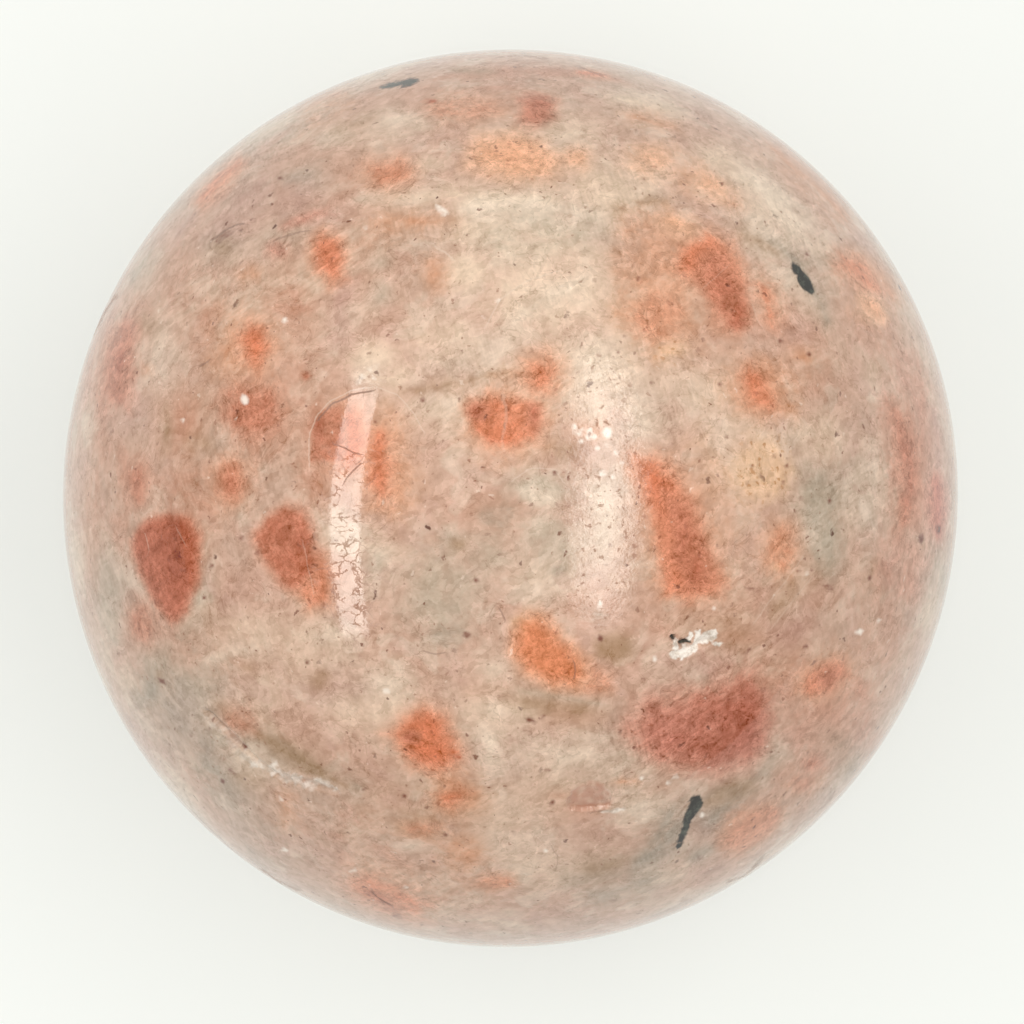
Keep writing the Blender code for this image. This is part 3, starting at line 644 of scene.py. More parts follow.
# %% The grains with a shape of their own: kind, soft edge, strength, and the corners of the outline
SHAPED_GRAINS = (
    ("brick", 0.3, 1, [(-25.8, -3.6), (-25.6, -2.3), (-24.6, -1.3), (-23, -0.9), (-21.7, -1.2),
        (-20.9, -2.5), (-20.8, -4.2), (-21, -6), (-21.6, -7.9), (-22.9, -8.7), (-24, -7.6), (-25, -5.6)]),
    ("core", 0.9, 0.85, [(-24.3, -2.8), (-23, -1.4), (-21.6, -1.8), (-21.2, -3.4), (-21.4, -5.6),
        (-22.4, -7.2), (-23.4, -6), (-23.8, -4.2)]),
    ("brick", 0.45, 0.42, [(-17.4, -2.6), (-16.6, -1.2), (-15.1, -0.4), (-13.8, -0.8), (-13, -2.3),
        (-12.9, -4), (-13.4, -5.4), (-14.4, -6.4), (-15.6, -5.9), (-16.6, -4.6)]),
    ("orange", 0.6, 0.4, [(-14.4, -3.4), (-12.4, -3.4), (-11.8, -5.6), (-11.9, -7.2), (-13.6, -7.6),
        (-14.8, -6)]),
    ("orange", 0.6, 0.88, [(8.2, 3), (10, 3), (11.6, 1.6), (12.7, 0), (13.2, -2), (13.7, -3.6),
        (14.8, -5.4), (14.4, -6.9), (12.2, -7.1), (10.2, -6.7), (9.6, -4), (9.1, -1.5), (8.3, 0.5)]),
    ("brick", 1, 0.18, [(10.6, 0.2), (12.2, -0.4), (12.8, -2.6), (13.6, -4.6), (14, -6), (12, -6), (11, -4),
        (10.8, -2)]),
    ("amber", 0.5, 1, [(0.7, -7.8), (1.9, -7.5), (3.1, -8.5), (4.3, -9.8), (5.3, -11), (5.5, -12.2),
        (4.4, -13), (2.6, -12.8), (0.9, -11.9), (0, -10.4), (0.1, -9)]),
    ("orange", 0.5, 0.12, [(4.4, -10.8), (5.4, -11), (6.8, -12), (6.8, -12.8), (5.4, -13.2), (4.4, -12.8)]),
    ("rose", 0.8, 0.74, [(7.9, -15.6), (9.2, -13.8), (11.6, -13.1), (13.4, -12.6), (15, -12.1), (16.8, -12),
        (17.6, -13.6), (17.9, -15.6), (17.8, -17.2), (16.6, -18.4), (14, -19), (11.4, -18.5), (9.4, -17.8),
        (8.2, -16.8)]),
    ("core", 1.2, 0.04, [(13.6, -13.2), (15.4, -12.6), (16.6, -13.6), (16.6, -15.4), (15.4, -17.2),
        (13.4, -16.8), (12.8, -15)]),
    ("orange", 0.6, 0.6, [(10.8, 16.4), (11.7, 17.5), (13.4, 18.2), (15, 17.4), (15.9, 15.4), (16, 13.9),
        (16.5, 12.2), (15.5, 11), (14.3, 11.4), (13.2, 12.8), (12.2, 14.2), (11, 14.8)]),
    ("brick", 0.8, 0.27, [(12.4, 14.8), (13, 16.2), (14.4, 16.6), (15.4, 15), (15.8, 13.4), (16.3, 12.2),
        (15.4, 11.2), (14.3, 11.6), (13.2, 13.2)]),
    ("orange", 0.6, 0.7, [(-8.5, -16), (-7.4, -14.6), (-5.8, -13.9), (-4.2, -14.4), (-3.5, -15.8),
        (-3.1, -17), (-3.7, -18.1), (-4.7, -18.7), (-6, -18.3), (-7.2, -17.6)]),
    ("orange", 0.5, 0.48, [(-3, 6.3), (-1.4, 7.2), (-0.4, 6.8), (0.8, 6.8), (2.2, 6.6), (2.5, 5),
        (1.8, 3.7), (0.3, 3.2), (-1.6, 3.4), (-2.8, 4.6)]),
    ("tan", 0.35, 0.6, [(-3, 6.4), (-1.4, 7.1), (-0.8, 6), (-1.6, 5), (-2.2, 4), (-2.9, 4.6)]),
    ("tan", 0.35, 0.45, [(1, 6.6), (2.3, 6.3), (2.2, 5), (1.4, 4.6), (1, 5.6)]),
    ("brick", 0.2, 0.28, [(-13.4, 2.4), (-13.3, 4.6), (-12.6, 5.7), (-11.3, 6.4), (-11, 4), (-11.2, 2.4)]),
    ("orange", 0.4, 0.7, [(19.3, -13), (19.8, -11.8), (21.2, -10.7), (22.7, -10.9), (23.1, -12),
        (21.6, -13.1), (20.2, -13.6)]),
    ("orange", 0.5, 0.6, [(-13.5, 17.2), (-12.6, 18.1), (-11.4, 17.7), (-10.8, 16.4), (-11.1, 14.7),
        (-12.2, 14.1), (-13.3, 15)]),
    ("brick", 0.5, 0.4, [(0.2, 25), (0.6, 26.8), (2, 27.3), (3.2, 27), (3.1, 25.4), (1.8, 24.7)]),
    ("orange", 0.4, 0.35, [(-21.4, 19.9), (-20, 21.6), (-18.2, 23.2), (-17.6, 22.6), (-18.8, 21),
        (-20.8, 19.4)]),
    ("orange", 0.6, 0.22, [(14.2, -23.4), (15.2, -21.6), (17.2, -20.6), (18.5, -20.8), (17.6, -22.4),
        (15.8, -23.8)]),
    ("orange", 0.55, 0.72, [(-18.7, 10.8), (-17.6, 12.2), (-16.2, 11.4), (-15.9, 9.8), (-16.9, 7.9),
        (-18.1, 8.8)]),
    ("rose", 0.4, 1, [(-27.4, 6.6), (-27.1, 9.8), (-26.1, 12.2), (-25, 11.6), (-25.3, 8.6), (-25.9, 6)]),
    ("brick", 0.6, 0.25, [(20.4, -12.6), (21, -11.3), (22.4, -11), (22.8, -11.9), (21.4, -12.9)]),
    ("brick", 0.7, 0.35, [(25.5, 6.5), (26.6, 5.8), (27.3, 3.5), (27.5, 1), (27.2, -1.5), (26.3, -2),
        (26.1, 0.5), (25.8, 3.5)]),
    ("orange", 0.6, 0.35, [(21.8, 16.6), (23.6, 16.1), (25.6, 13.6), (24.6, 13.2), (23.2, 14.2),
        (21.9, 15.2)]),
    ("peach", 0.6, 1, [(-3, 22.4), (-2.3, 24.3), (0.4, 24.7), (2.6, 24), (4, 22.6), (2.6, 21.4), (0, 21.2)]),
)

# %% Lay the marks on the mesh
MARK_LIMIT = 3.0  # nothing changes further in or out than this many soft edges
# A mark is worked out only near its middle: the least cosine between the two directions from the centre
WIDE, NARROW, CLOSE = 0.55, 0.90, 0.95
noise.seed_set(1)  # without a seed, the shifts below would start from the clock


def wavy(where):
    """The points, each shifted a little, so that no mark keeps a drawn outline."""
    spots = [Vector(point) for point in where]
    broad = np.array([noise.noise_vector(spot / (2.6 * MM)) for spot in spots])
    small = np.array([noise.noise_vector(spot / (0.9 * MM)) for spot in spots])
    return where + broad * 0.22 * MM + small * 0.10 * MM


waved = wavy(points)
kinds = [*CLOUDS, *GRAINS, "needle_and_hole_shade", "fleck", "painted_glint", "pitted", "cracked"]
marks = {name: np.full(len(points), -MARK_LIMIT) for name in kinds}


def around(place, source, least):
    """Which points of the mesh lie round a place, and their steps from it."""
    where = outward @ place.out > least
    return where, place.steps(source[where])


def lay(name, where, inside, soft, strength):
    """Adds a mark: inside is in picture millimetres, and a weak mark stops at a lower value."""
    value = np.clip(inside / soft, -MARK_LIMIT, MARK_LIMIT * strength)
    marks[name][where] = np.maximum(marks[name][where], value)


def lay_oval(name, east, north, half_length, half_width, soft, strength, turn=0):
    where, steps = around(place_seen(east, north), waved, WIDE)
    lay(name, where, oval_inside(steps, half_length, half_width, turn), soft, strength)


for name, ovals in [*CLOUDS.items(), *GRAINS.items()]:
    for oval in ovals:
        lay_oval(name, *oval)
for name, soft, strength, corners in SHAPED_GRAINS:
    middle = np.mean(corners, axis=0)
    where, steps = around(place_seen(*middle), waved, WIDE)
    lay(name, where, outline_inside(steps + middle, corners), soft, strength)
print("marks laid:", {name: int((marks[name] > 0).sum()) for name in [*CLOUDS, *GRAINS]})

# %% [markdown]
# ## The side that the picture doesn't show
#
# Nobody can see what the lower half looks like, but it is the same rock. So it gets marks of the same
# kinds and sizes from a fixed seed. Each is measured along the surface.

# %% Marks on the lower half
# kind: (how many, half length from and to, longest over widest, soft edge, strength)
UNSEEN = {
    "milk": (10, 2.5, 6.0, 1.8, 1.6, 0.5),
    "pink": (14, 2.5, 7.0, 1.8, 1.8, 0.45),
    "cream": (16, 1.4, 3.6, 2.0, 0.9, 0.5),
    "grey": (16, 1.0, 4.0, 2.0, 1.0, 0.5),
    "slate": (8, 1.2, 3.6, 2.4, 0.9, 0.5),
    "mauve": (14, 1.2, 4.0, 2.0, 1.0, 0.5),
    "tan": (22, 0.6, 2.2, 2.2, 0.6, 0.5),
    "apricot": (22, 0.9, 3.0, 1.8, 0.8, 0.6),
    "orange": (18, 1.1, 3.0, 1.7, 0.6, 0.75),
    "amber": (3, 1.2, 2.8, 1.7, 0.6, 0.75),
    "peach": (5, 1.2, 2.6, 1.8, 0.7, 0.7),
    "brick": (10, 1.1, 3.4, 1.6, 0.5, 0.75),
    "rose": (7, 1.2, 4.0, 1.8, 0.6, 0.8),
    "ochre": (2, 1.0, 2.0, 1.3, 0.5, 0.8),
}
UNSEEN_TOP = math.cos(math.radians(97))  # a mark's middle lies at least this far round from the top

dice = random.Random(11)
for name, (count, least, most, longest, soft, strength) in UNSEEN.items():
    for _ in range(count):
        height = dice.uniform(-1, UNSEEN_TOP)
        heading = dice.uniform(0, 2 * math.pi)
        flat = math.sqrt(1 - height**2)
        out = Vector((flat * math.cos(heading), flat * math.sin(heading), height))
        first = out.orthogonal().normalized()
        where, steps = around(Place(CENTRE + out * RADIUS, first * MM, out.cross(first) * MM), waved, WIDE)
        half_length = dice.uniform(least, most)
        half_width = half_length / dice.uniform(1.1, longest)
        lay(name, where, oval_inside(steps, half_length, half_width, dice.uniform(0, 180)), soft,
            strength * dice.uniform(0.7, 1.1))
print(sum(row[0] for row in UNSEEN.values()), "marks lie on the lower half")

# %% [markdown]
# ## Needles, flecks, lines and lost polish
#
# Three thin crystals of dark green hornblende reach the surface, each as a short needle or a small club.
# The same dark colour is painted into the chip's two deepest holes as shade. Around them are dark flecks,
# and small painted highlights: glints where light catches pits and hematite flakes. Thin lines, some light
# and some dark, run where a grain ends or where the stone once cracked and healed, and a few dark ones
# follow the rim and the scar's steep edge. What catches the eye is laid one by one, and the rest comes
# from the material.

# %% Needles, and painted shade in the chip's two deep holes, as short chains of round beads: east, north, half width
NEEDLE_AND_HOLE_BEADS = (
    [(-8.7, 27.5, 0.1), (-8.2, 27.58, 0.17), (-7.4, 27.72, 0.18), (-6.7, 27.88, 0.16), (-6.1, 28.02, 0.08)],
    [(19, 15.6, 0.16), (19.15, 15.3, 0.34), (19.45, 14.95, 0.26), (19.6, 14.6, 0.38), (19.85, 14.25, 0.36),
     (20.1, 13.9, 0.22), (20.2, 13.7, 0.12)],
    [(12.7, -20.15, 0.22), (12.5, -20.55, 0.46), (12.15, -21.05, 0.38), (11.95, -21.5, 0.26),
     (11.82, -22, 0.22), (11.68, -22.5, 0.2), (11.5, -23, 0.22), (11.35, -23.45, 0.16)],
    # The last two chains are not crystals but painted shade in the chip's two deep holes
    [(10.96, -9.32, 0.15), (11.04, -9.52, 0.16)],
    [(11.5, -9.8, 0.14), (11.76, -9.72, 0.26), (12.02, -9.66, 0.14)],
)
NEEDLE_AND_HOLE_SOFT = 0.10

for beads in NEEDLE_AND_HOLE_BEADS:
    middle = beads[len(beads) // 2][:2]
    where, steps = around(place_seen(*middle), points, NARROW)
    for (x0, y0, wide0), (x1, y1, wide1) in zip(beads, beads[1:]):
        away, share, _ = from_segment(steps + middle, (x0, y0), (x1, y1))
        lay("needle_and_hole_shade", where, wide0 + (wide1 - wide0) * np.clip(share, 0, 1) - away, NEEDLE_AND_HOLE_SOFT, 1.0)

# %% Flecks, and painted glints where light catches pits and hematite flakes: east, north, half length, half width, and a turn
FLECKS = (
    (-15.35, 21.4, 0.22, 0.14), (-19.55, 17.15, 0.24, 0.12, 40), (-18.85, 17.7, 0.75, 0.1, 32),
    (-17, 18.65, 0.14, 0.12), (8.5, 24.5, 0.15), (8.85, 21.4, 0.15), (19.85, 16.35, 0.13, 0.18, 20),
    (17.4, 17.4, 0.14, 0.1), (20, 19.75, 0.12, 0.1), (7.7, 10.8, 0.13), (7.25, 9.8, 0.12),
    (12.6, 9.9, 0.13), (14.1, 7.6, 0.13), (14.5, 4.1, 0.14), (8.6, 14.7, 0.13), (9.5, 7.7, 0.12),
    (5.7, 14.6, 0.12), (3, 1.65, 0.16), (20, 9.6, 0.15), (18.1, 10.5, 0.15), (-26.7, 4.35, 0.15, 0.2),
    (-9, 5.1, 0.14), (-8.3, 5, 0.12), (-8.8, 3.8, 0.12), (-5.85, 6.55, 0.17), (-16.95, -3.7, 0.18, 0.16),
    (-18, -2.7, 0.15), (-20.5, -6.7, 0.15), (-20, -4.6, 0.14), (-23.3, -12.3, 0.5, 0.16, -20),
    (-20.2, -15.5, 0.2, 0.14), (-21.4, -15.85, 0.22, 0.12, -20), (-17.8, -16.65, 0.12, 0.26, 25),
    (-18.6, -18.3, 0.3, 0.12, -30), (-19.2, -18.9, 0.1, 0.26, -10), (-22.8, -16.6, 0.12),
    (-2.25, -5.55, 0.15), (-2.9, -9.2, 0.24, 0.18), (-5.5, -8.1, 0.14), (-12.5, -7.2, 0.13),
    (-11.6, -7.3, 0.13), (-13.6, -11, 0.14), (-9.8, -9.9, 0.13), (-10.4, -9.5, 0.13),
    (6.05, -9.4, 0.16, 0.22), (1.25, -14.85, 0.17, 0.12), (1.6, -15.05, 0.18, 0.12, -20),
    (2.2, -14.7, 0.16, 0.1, 20), (2.8, -20.45, 0.22, 0.12, 45), (0.2, -22.45, 0.2, 0.12),
    (2.5, -18.25, 0.22, 0.08), (4.5, -18.3, 0.12, 0.1), (6.9, -27, 0.22, 0.07, 10),
    (12.8, -24.1, 0.18, 0.14), (-9.7, -19.5, 0.2, 0.1, 20), (-7.1, -19.95, 0.13, 0.09),
    (-9.35, -21.95, 0.12, 0.1), (-11.5, -23.4, 0.22, 0.09), (-12.5, -24, 0.16, 0.08),
    (-4.4, -22.5, 0.25, 0.18), (-3.6, -25.6, 0.12, 0.1), (-7.5, -27.9, 0.3, 0.12, -20),
    (19.5, -0.05, 0.15, 0.13, 20), (21.4, -0.2, 0.12, 0.18), (23, -1.3, 0.13, 0.2),
    (27.6, -2.7, 0.18, 0.34), (28.75, -2.1, 0.2, 0.3), (24.1, -5.4, 0.12, 0.2), (19.4, -4.9, 0.14, 0.12),
    (20.25, -4.85, 0.12), (21.4, -6, 0.34, 0.1, -15), (21.3, -7.45, 0.11, 0.1), (22.75, -8.2, 0.13, 0.11),
    (19.85, -10, 0.13, 0.11), (17, -12.9, 0.16, 0.12), (16, -10.25, 0.3, 0.07, 40),
    (16.2, -6.15, 0.4, 0.07, -10), (15.9, 1, 0.12), (16.8, 1.5, 0.13, 0.12), (17.7, 2.8, 0.12),
    (18.5, 2.1, 0.12), (17.3, 0.2, 0.12, 0.11), (16.2, 2.1, 0.11), (18.3, 1, 0.12, 0.11),
    (18.6, 2.6, 0.11, 0.1),
)
PAINTED_GLINTS = (
    (-9.9, 8.1, 0.12, 0.14), (-9.4, 8.6, 0.16, 0.1, 20), (-8.9, 8.9, 0.1, 0.12), (-9.1, 8, 0.12, 0.08),
    (-10.2, 7.7, 0.1), (-8.5, 8.3, 0.1, 0.12), (4.7, 4.4, 0.2, 0.12, 30), (5.3, 4.5, 0.14, 0.18),
    (6.5, 4.4, 0.26, 0.24), (6.2, 1.6, 0.18), (5.6, 4.1, 0.16, 0.1), (7.1, 3, 0.12, 0.16), (4.3, 4.8, 0.13),
    (4.35, 4.4, 0.1, 0.12), (4.8, 3.8, 0.14, 0.12), (5.2, 4, 0.11, 0.13), (6.55, 4.25, 0.22, 0.2),
    (6.3, 1.7, 0.12), (6.9, 1.4, 0.11, 0.14), (7.5, 2.3, 0.09, 0.1), (6.05, -7.2, 0.09, 0.3),
    (5.9, 3.3, 0.12, 0.1), (6.5, 3.5, 0.08, 0.14, 20), (4.9, 4.6, 0.08), (13.7, -7.4, 0.09),
    (9.7, -10.85, 0.13, 0.18), (-17.85, 6.6, 0.2, 0.28, 20), (-4.6, 19.3, 0.36, 0.14, -20),
    (-4.4, 19, 0.2, 0.08, 10), (-4.9, 19.5, 0.1), (-9.7, 18.15, 0.1, 0.12), (-15.1, 11.9, 0.12, 0.14),
    (23.5, -9, 0.25, 0.12), (24.8, -8.3, 0.16, 0.12), (19.95, -5.1, 0.12), (-10.5, -24.9, 0.18, 0.1),
    (-7, -26, 0.14, 0.08), (-15.35, -20.05, 0.1, 0.14), (8.8, -18.8, 0.12, 0.1), (10.6, -19.1, 0.12),
    (11.1, -18.7, 0.1), (12.9, -21.3, 0.09), (-8.3, -13, 0.22, 0.16), (-22, 5.2, 0.08, 0.1),
    (-0.8, 13.2, 0.14, 0.1, 30), (2.3, -23.6, 0.12, 0.08), (-15, -23.5, 0.16, 0.12), (-1.8, 12.1, 0.1),
)
FLECK_SOFT = 0.14
PAINTED_GLINT_GROWN = 0.04  # in picture millimetres, because a painted highlight looks larger than it is


def lay_small(name, grown, east, north, half_length, half_width=None, turn=0):
    """Lays a small oval, which is round where it has no half width."""
    where, steps = around(place_seen(east, north), points, CLOSE)
    inside = oval_inside(steps, half_length, half_width or half_length, turn) + grown
    lay(name, where, inside, FLECK_SOFT, 1.0)


for fleck in FLECKS:
    lay_small("fleck", 0.0, *fleck)
for painted_glint in PAINTED_GLINTS:
    lay_small("painted_glint", PAINTED_GLINT_GROWN, *painted_glint)

# %% Thin lines: kind, half width, strength, and the corners of their route
LINES = (
    ("light", 0.06, 0.32, [(-13.6, 2.2), (-13.5, 4.2), (-13, 5.5), (-12, 6.5), (-10.6, 7.2), (-9.4, 7.4)]),
    ("light", 0.06, 0.25, [(-9, 7.4), (-7.6, 6.9), (-6.4, 5.6), (-5.8, 4.4)]),
    ("dark", 0.08, 0.6, [(-12.9, 5.3), (-11.9, 6.3), (-10.6, 6.9), (-9.2, 7.15)]),
    ("dark", 0.07, 0.5, [(-11.7, 3.6), (-10.8, 3.2), (-10, 2.9)]),
    ("dark", 0.07, 0.5, [(-11.2, 1), (-10.7, 1.6), (-10, 2.3)]),
    ("dark", 0.06, 0.4, [(-5.8, -10.3), (-5, -10.5), (-4.4, -10.4)]),
    ("dark", 0.06, 0.5, [(-0.7, -7.5), (-0.5, -7.9), (-0.4, -8.2)]),
    ("dark", 0.07, 0.5, [(4.3, -11), (4.4, -11.6), (4.3, -12.1)]),
    ("dark", 0.09, 0.6, [(-9.3, -26.2), (-8.6, -26.8), (-7.8, -27.3)]),
    ("dark", 0.08, 0.3, [(5.4, -21.1), (6.5, -20.95)]),
    ("dark", 0.06, 0.2, [(6.7, -20.5), (6.8, -20)]),
    ("dark", 0.08, 0.5, [(-20.8, 8.8), (-20.2, 9.2)]),
    ("dark", 0.08, 0.5, [(-20.1, 17.2), (-19.1, 18), (-17.9, 18.4)]),
    ("dark", 0.07, 0.4, [(-15.9, 17.2), (-14.8, 17.6), (-13.6, 17.9)]),
    ("dark", 0.06, 0.25, [(2.8, -23.4), (3.2, -24), (3.1, -24.9)]),
    ("dark", 0.09, 0.4, [(-27.9, 10.9), (-27.2, 12.4), (-26.4, 13.7)]),
    ("dark", 0.09, 0.4, [(-27.5, 11), (-26.9, 12.4)]),
    ("dark", 0.06, 0.2, [(-22.3, -19.5), (-21.2, -21), (-19.6, -22.5), (-17.9, -24.1)]),
    ("dark", 0.08, 0.35, [(-16.8, -24.8), (-15.4, -25.7), (-13.9, -26.4)]),
    ("dark", 0.09, 0.4, [(14.6, -25.9), (15.9, -25.3), (17.2, -24.2)]),
    ("dark", 0.09, 0.35, [(20.4, -21.4), (21.3, -20.6), (22, -19.6)]),
    ("dark", 0.08, 0.4, [(4.4, 28.9), (5.6, 28.5), (6.3, 28.2)]),
    ("dark", 0.07, 0.35, [(-1, 29.5), (1, 29.6), (2.6, 29.4)]),
    ("light", 0.06, 0.15, [(19.8, -3.8), (18.2, -6), (16.4, -8.4)]),
    ("light", 0.06, 0.12, [(20.4, -5.2), (18.9, -7), (17.6, -8.8)]),
    ("light", 0.05, 0.15, [(-13.9, -3), (-13.5, -4.8), (-13.2, -6.4)]),
    ("light", 0.05, 0.15, [(-14.4, -3.6), (-14, -5.6)]),
    ("light", 0.05, 0.2, [(-24.5, -2.4), (-24.2, -3.6)]),
    ("light", 0.05, 0.15, [(-22.4, -2), (-21.8, -3.2)]),
    ("dark", 0.1, 0.28, [(-20.4, -14.1), (-19.6, -14.9), (-18.7, -15.8), (-17.9, -16.7)]),
    ("light", 0.08, 0.3, [(-5, 16.8), (-4.3, 16.4), (-3.8, 16)]),
    ("light", 0.07, 0.22, [(-1.6, 11.6), (-0.6, 13.4), (1.2, 14.6), (3.4, 15.2)]),
    ("light", 0.06, 0.22, [(0.2, 1.2), (1.4, 2), (3, 1.9), (3.6, 1)]),
    ("light", 0.14, 0.14, [(-0.35, 7), (-0.25, 5.4), (-0.4, 3.4)]),
    ("light", 0.05, 0.12, [(16.2, 12.9), (16.5, 12), (17, 11.2)]),
    ("light", 0.05, 0.1, [(13, 14.1), (13.9, 14.9), (14.6, 15.5)]),
)
LINE_REACH = 1.2  # how far from a line its side is still known, in picture millimetres
LINE_FADE, LINE_END = 0.5, 0.4  # over how much of that reach it fades, and how far past its end
line_side = {kind: np.full(len(points), LINE_REACH / 0.1) for kind in ("light", "dark")}
line_shown = {kind: np.zeros(len(points)) for kind in ("light", "dark")}

for kind, half_width, strength, route in LINES:
    middle = route[len(route) // 2]
    where, steps = around(place_seen(*middle), points, NARROW)
    nearest, side, shown = np.full(len(steps), np.inf), np.zeros(len(steps)), np.zeros(len(steps))
    for index, (start, end) in enumerate(zip(route, route[1:])):
        away, share, left = from_segment(steps + middle, start, end)
        length = math.dist(start, end)
        past_start = -share * length if index == 0 else 0.0
        past_end = (share - 1) * length if index == len(route) - 2 else 0.0
        fading = np.clip(1 - np.maximum(past_start, past_end) / LINE_END, 0, 1)
        closer = away < nearest
        nearest, side = np.where(closer, away, nearest), np.where(closer, left * away, side)
        shown = np.where(closer, fading, shown)
    shown = shown * strength * np.clip((LINE_REACH - nearest) / LINE_FADE, 0, 1)
    stronger = shown > line_shown[kind][where]
    line_side[kind][where] = np.where(stronger, side / half_width, line_side[kind][where])
    line_shown[kind][where] = np.where(stronger, shown, line_shown[kind][where])
print(len(LINES), "lines and", len(FLECKS) + len(PAINTED_GLINTS), "flecks and glints are laid")

# %% Where the polish is pitted or has hair cracks
lay_oval("pitted", 6.3, 1.0, 3.6, 9.5, 1.2, 1.0)
lay_oval("pitted", -9.3, 8.4, 1.2, 0.8, 0.6, 1.0)
lay_oval("cracked", -10.8, -3.8, 2.4, 6.6, 1.6, 1.0)

# %% Store the new shape and the marks in the mesh
FIT = 0.9997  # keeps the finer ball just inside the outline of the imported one
points *= FIT
ball_mesh.vertices.foreach_set("co", points.astype(np.float32).ravel())
stored = {**marks, "powder": powder, "broken": broken, "scar": scar_tint}
for kind in line_side:
    stored[kind + "_line"] = line_side[kind]
    stored[kind + "_line_shown"] = line_shown[kind]
for name, value in stored.items():
    attribute = ball_mesh.attributes.new(name, "FLOAT", "POINT")
    attribute.data.foreach_set("value", value.astype(np.float32))
ball_mesh.update()
print("the ball's", len(ball_mesh.vertices), "points carry", len(stored), "values each")

# %% [markdown]
# ## Polished feldspar
#
# The stone's finish is a hard polish on a milky, slightly clear crystal: IOR about 1.54, no metal, and
# a surface as smooth as glass but for tiny pits between grains. The colour is built as the rock is, from
# large to small: a mottled ground, the clouds, the grains with their hematite dust, then the small
# crystals, streaks and threads of the rock, and last the lines, flecks and damage. Everything reads the
# stone's own coordinates in millimetres, so that a pattern's scale is a real size.

# %% Coordinates in millimetres, and what is stored at the mesh's points
tree = stone.node_tree
tree.nodes.clear()
at_point = {name: add(tree, "ShaderNodeAttribute", attribute_name=name).outputs["Fac"]
            for name in stored}
own = add(tree, "ShaderNodeTexCoord").outputs["Object"]
in_mm = add(tree, MAPPING, {"Vector": own, "Location": -CENTRE * 1000, "Scale": (1000, 1000, 1000)})


def shaken(where, size, detail, amount):
    """A place, shifted up to half this amount in mm by noise with lumps of this size in mm."""
    shift = add(tree, NOISE, {"Vector": in_mm, "Scale": 1 / size, "Detail": detail}).outputs["Color"]
    shift = add(tree, VECTOR_MATH, {0: shift, 1: (0.5, 0.5, 0.5)}, operation="SUBTRACT")
    shift = add(tree, VECTOR_MATH, {0: shift, "Scale": amount}, operation="SCALE")
    return add(tree, VECTOR_MATH, {0: where, 1: shift}, operation="ADD")


bent = shaken(in_mm, 4.0, 2.0, 2.4)
crumbled = shaken(bent, 0.30, 1.0, 0.45)

# pattern: (size of its lumps in mm, detail)
PATTERNS = {"cloud": (8.0, 3.0), "blotch": (2.6, 3.0), "mottle": (0.9, 2.0), "speck": (0.26, 2.0)}
pattern = {}
for name, (size, detail) in PATTERNS.items():
    texture = add(tree, NOISE, {"Vector": bent, "Scale": 1 / size, "Detail": detail, "Roughness": 0.5})
    pattern[name] = add(tree, "ShaderNodeSeparateColor", {0: texture.outputs["Color"]}).outputs

# %% The mottled ground
colour = add(tree, MIX, {"Factor": pattern["cloud"][0], "A": linear("cbac95"), "B": linear("cb9e8a")},
             data_type="RGBA")
# (pattern, channel, from, to, colour, how much): a short way from "from" to "to" gives a patch a crisp edge
GROUND_LAYERS = (
    ("cloud", 1, 0.47, 0.66, "dcc5ae", 0.75),
    ("cloud", 2, 0.50, 0.70, "b39c8a", 0.55),
    ("blotch", 0, 0.54, 0.62, "dec8b4", 0.42),
    ("blotch", 1, 0.48, 0.68, "bd937f", 0.42),
    ("blotch", 2, 0.57, 0.62, "cba594", 0.38),
)
for name, channel, low, high, shade, amount in GROUND_LAYERS:
    share = add(tree, MAP_RANGE, {"Value": pattern[name][channel], "From Min": low, "From Max": high,
                                  "To Max": amount}, interpolation_type="SMOOTHSTEP")
    colour = add(tree, MIX, {"Factor": share, "A": colour, "B": linear(shade)}, data_type="RGBA")

# %% Marks over the ground
# The edge of every mark is shifted by the same mix of patterns, so that no edge is even
edge = 0.0
for name, channel, amount in (("blotch", 2, 1.6), ("mottle", 2, 1.5), ("speck", 2, 0.8)):
    shift = add(tree, MATH, {0: pattern[name][channel], 1: 0.5}, operation="SUBTRACT")
    edge = add(tree, MATH, {0: shift, 1: amount, 2: edge}, operation="MULTIPLY_ADD")


def mark_and_share(name, uneven, low, high, cover):
    """How far inside a mark of this name a place lies, and how much of the mark's colour covers it."""
    mark = add(tree, MATH, {0: edge, 1: uneven, 2: at_point[name]}, operation="MULTIPLY_ADD")
    return mark, add(tree, MAP_RANGE, {"Value": mark, "From Min": low, "From Max": high, "To Max": cover},
                     interpolation_type="SMOOTHSTEP")


# finish: (colour at its edge, colour inside, how uneven its edge is, fades from, to, how much it covers)
FINISHES = {
    "milk": ("dec5ad", "e9d0b6", 1.2, -1.3, 3.0, 0.90),
    "pink": ("c99a80", "bf8568", 1.2, -1.3, 3.0, 0.85),
    "cream": ("dfc9b4", "ead6c0", 1.2, -1.3, 3.0, 0.80),
    "grey": ("bfb09d", "b2a48f", 1.2, -1.3, 3.0, 0.80),
    "slate": ("b0a08c", "a09382", 1.2, -1.3, 3.0, 0.85),
    "mauve": ("cba898", "bb9384", 1.2, -1.3, 3.0, 0.75),
    "tan": ("b99579", "a3805f", 1.2, -1.2, 2.6, 0.85),
    "apricot": ("d8a787", "d1926b", 1.3, -1.5, 2.6, 0.80),
    "ochre": ("e8c2a0", "e8b98c", 0.8, -1.2, 2.0, 0.85),
    "rose": ("cc9079", "b96a54", 0.65, -1.5, 1.3, 0.88),
    "orange": ("d49c7d", "cd6b3e", 0.65, -1.5, 1.3, 0.90),
    "peach": ("e4b798", "e2a680", 0.70, -1.5, 1.4, 0.90),
    "amber": ("dca482", "cf7848", 0.65, -1.5, 1.3, 0.90),
    "brick": ("c58a6e", "b25630", 0.55, -1.4, 1.2, 0.90),
    "core": ("a04a26", "8c3c18", 0.9, -1.4, 2.6, 0.75),
}
iron = 0.0  # how full of hematite a place is
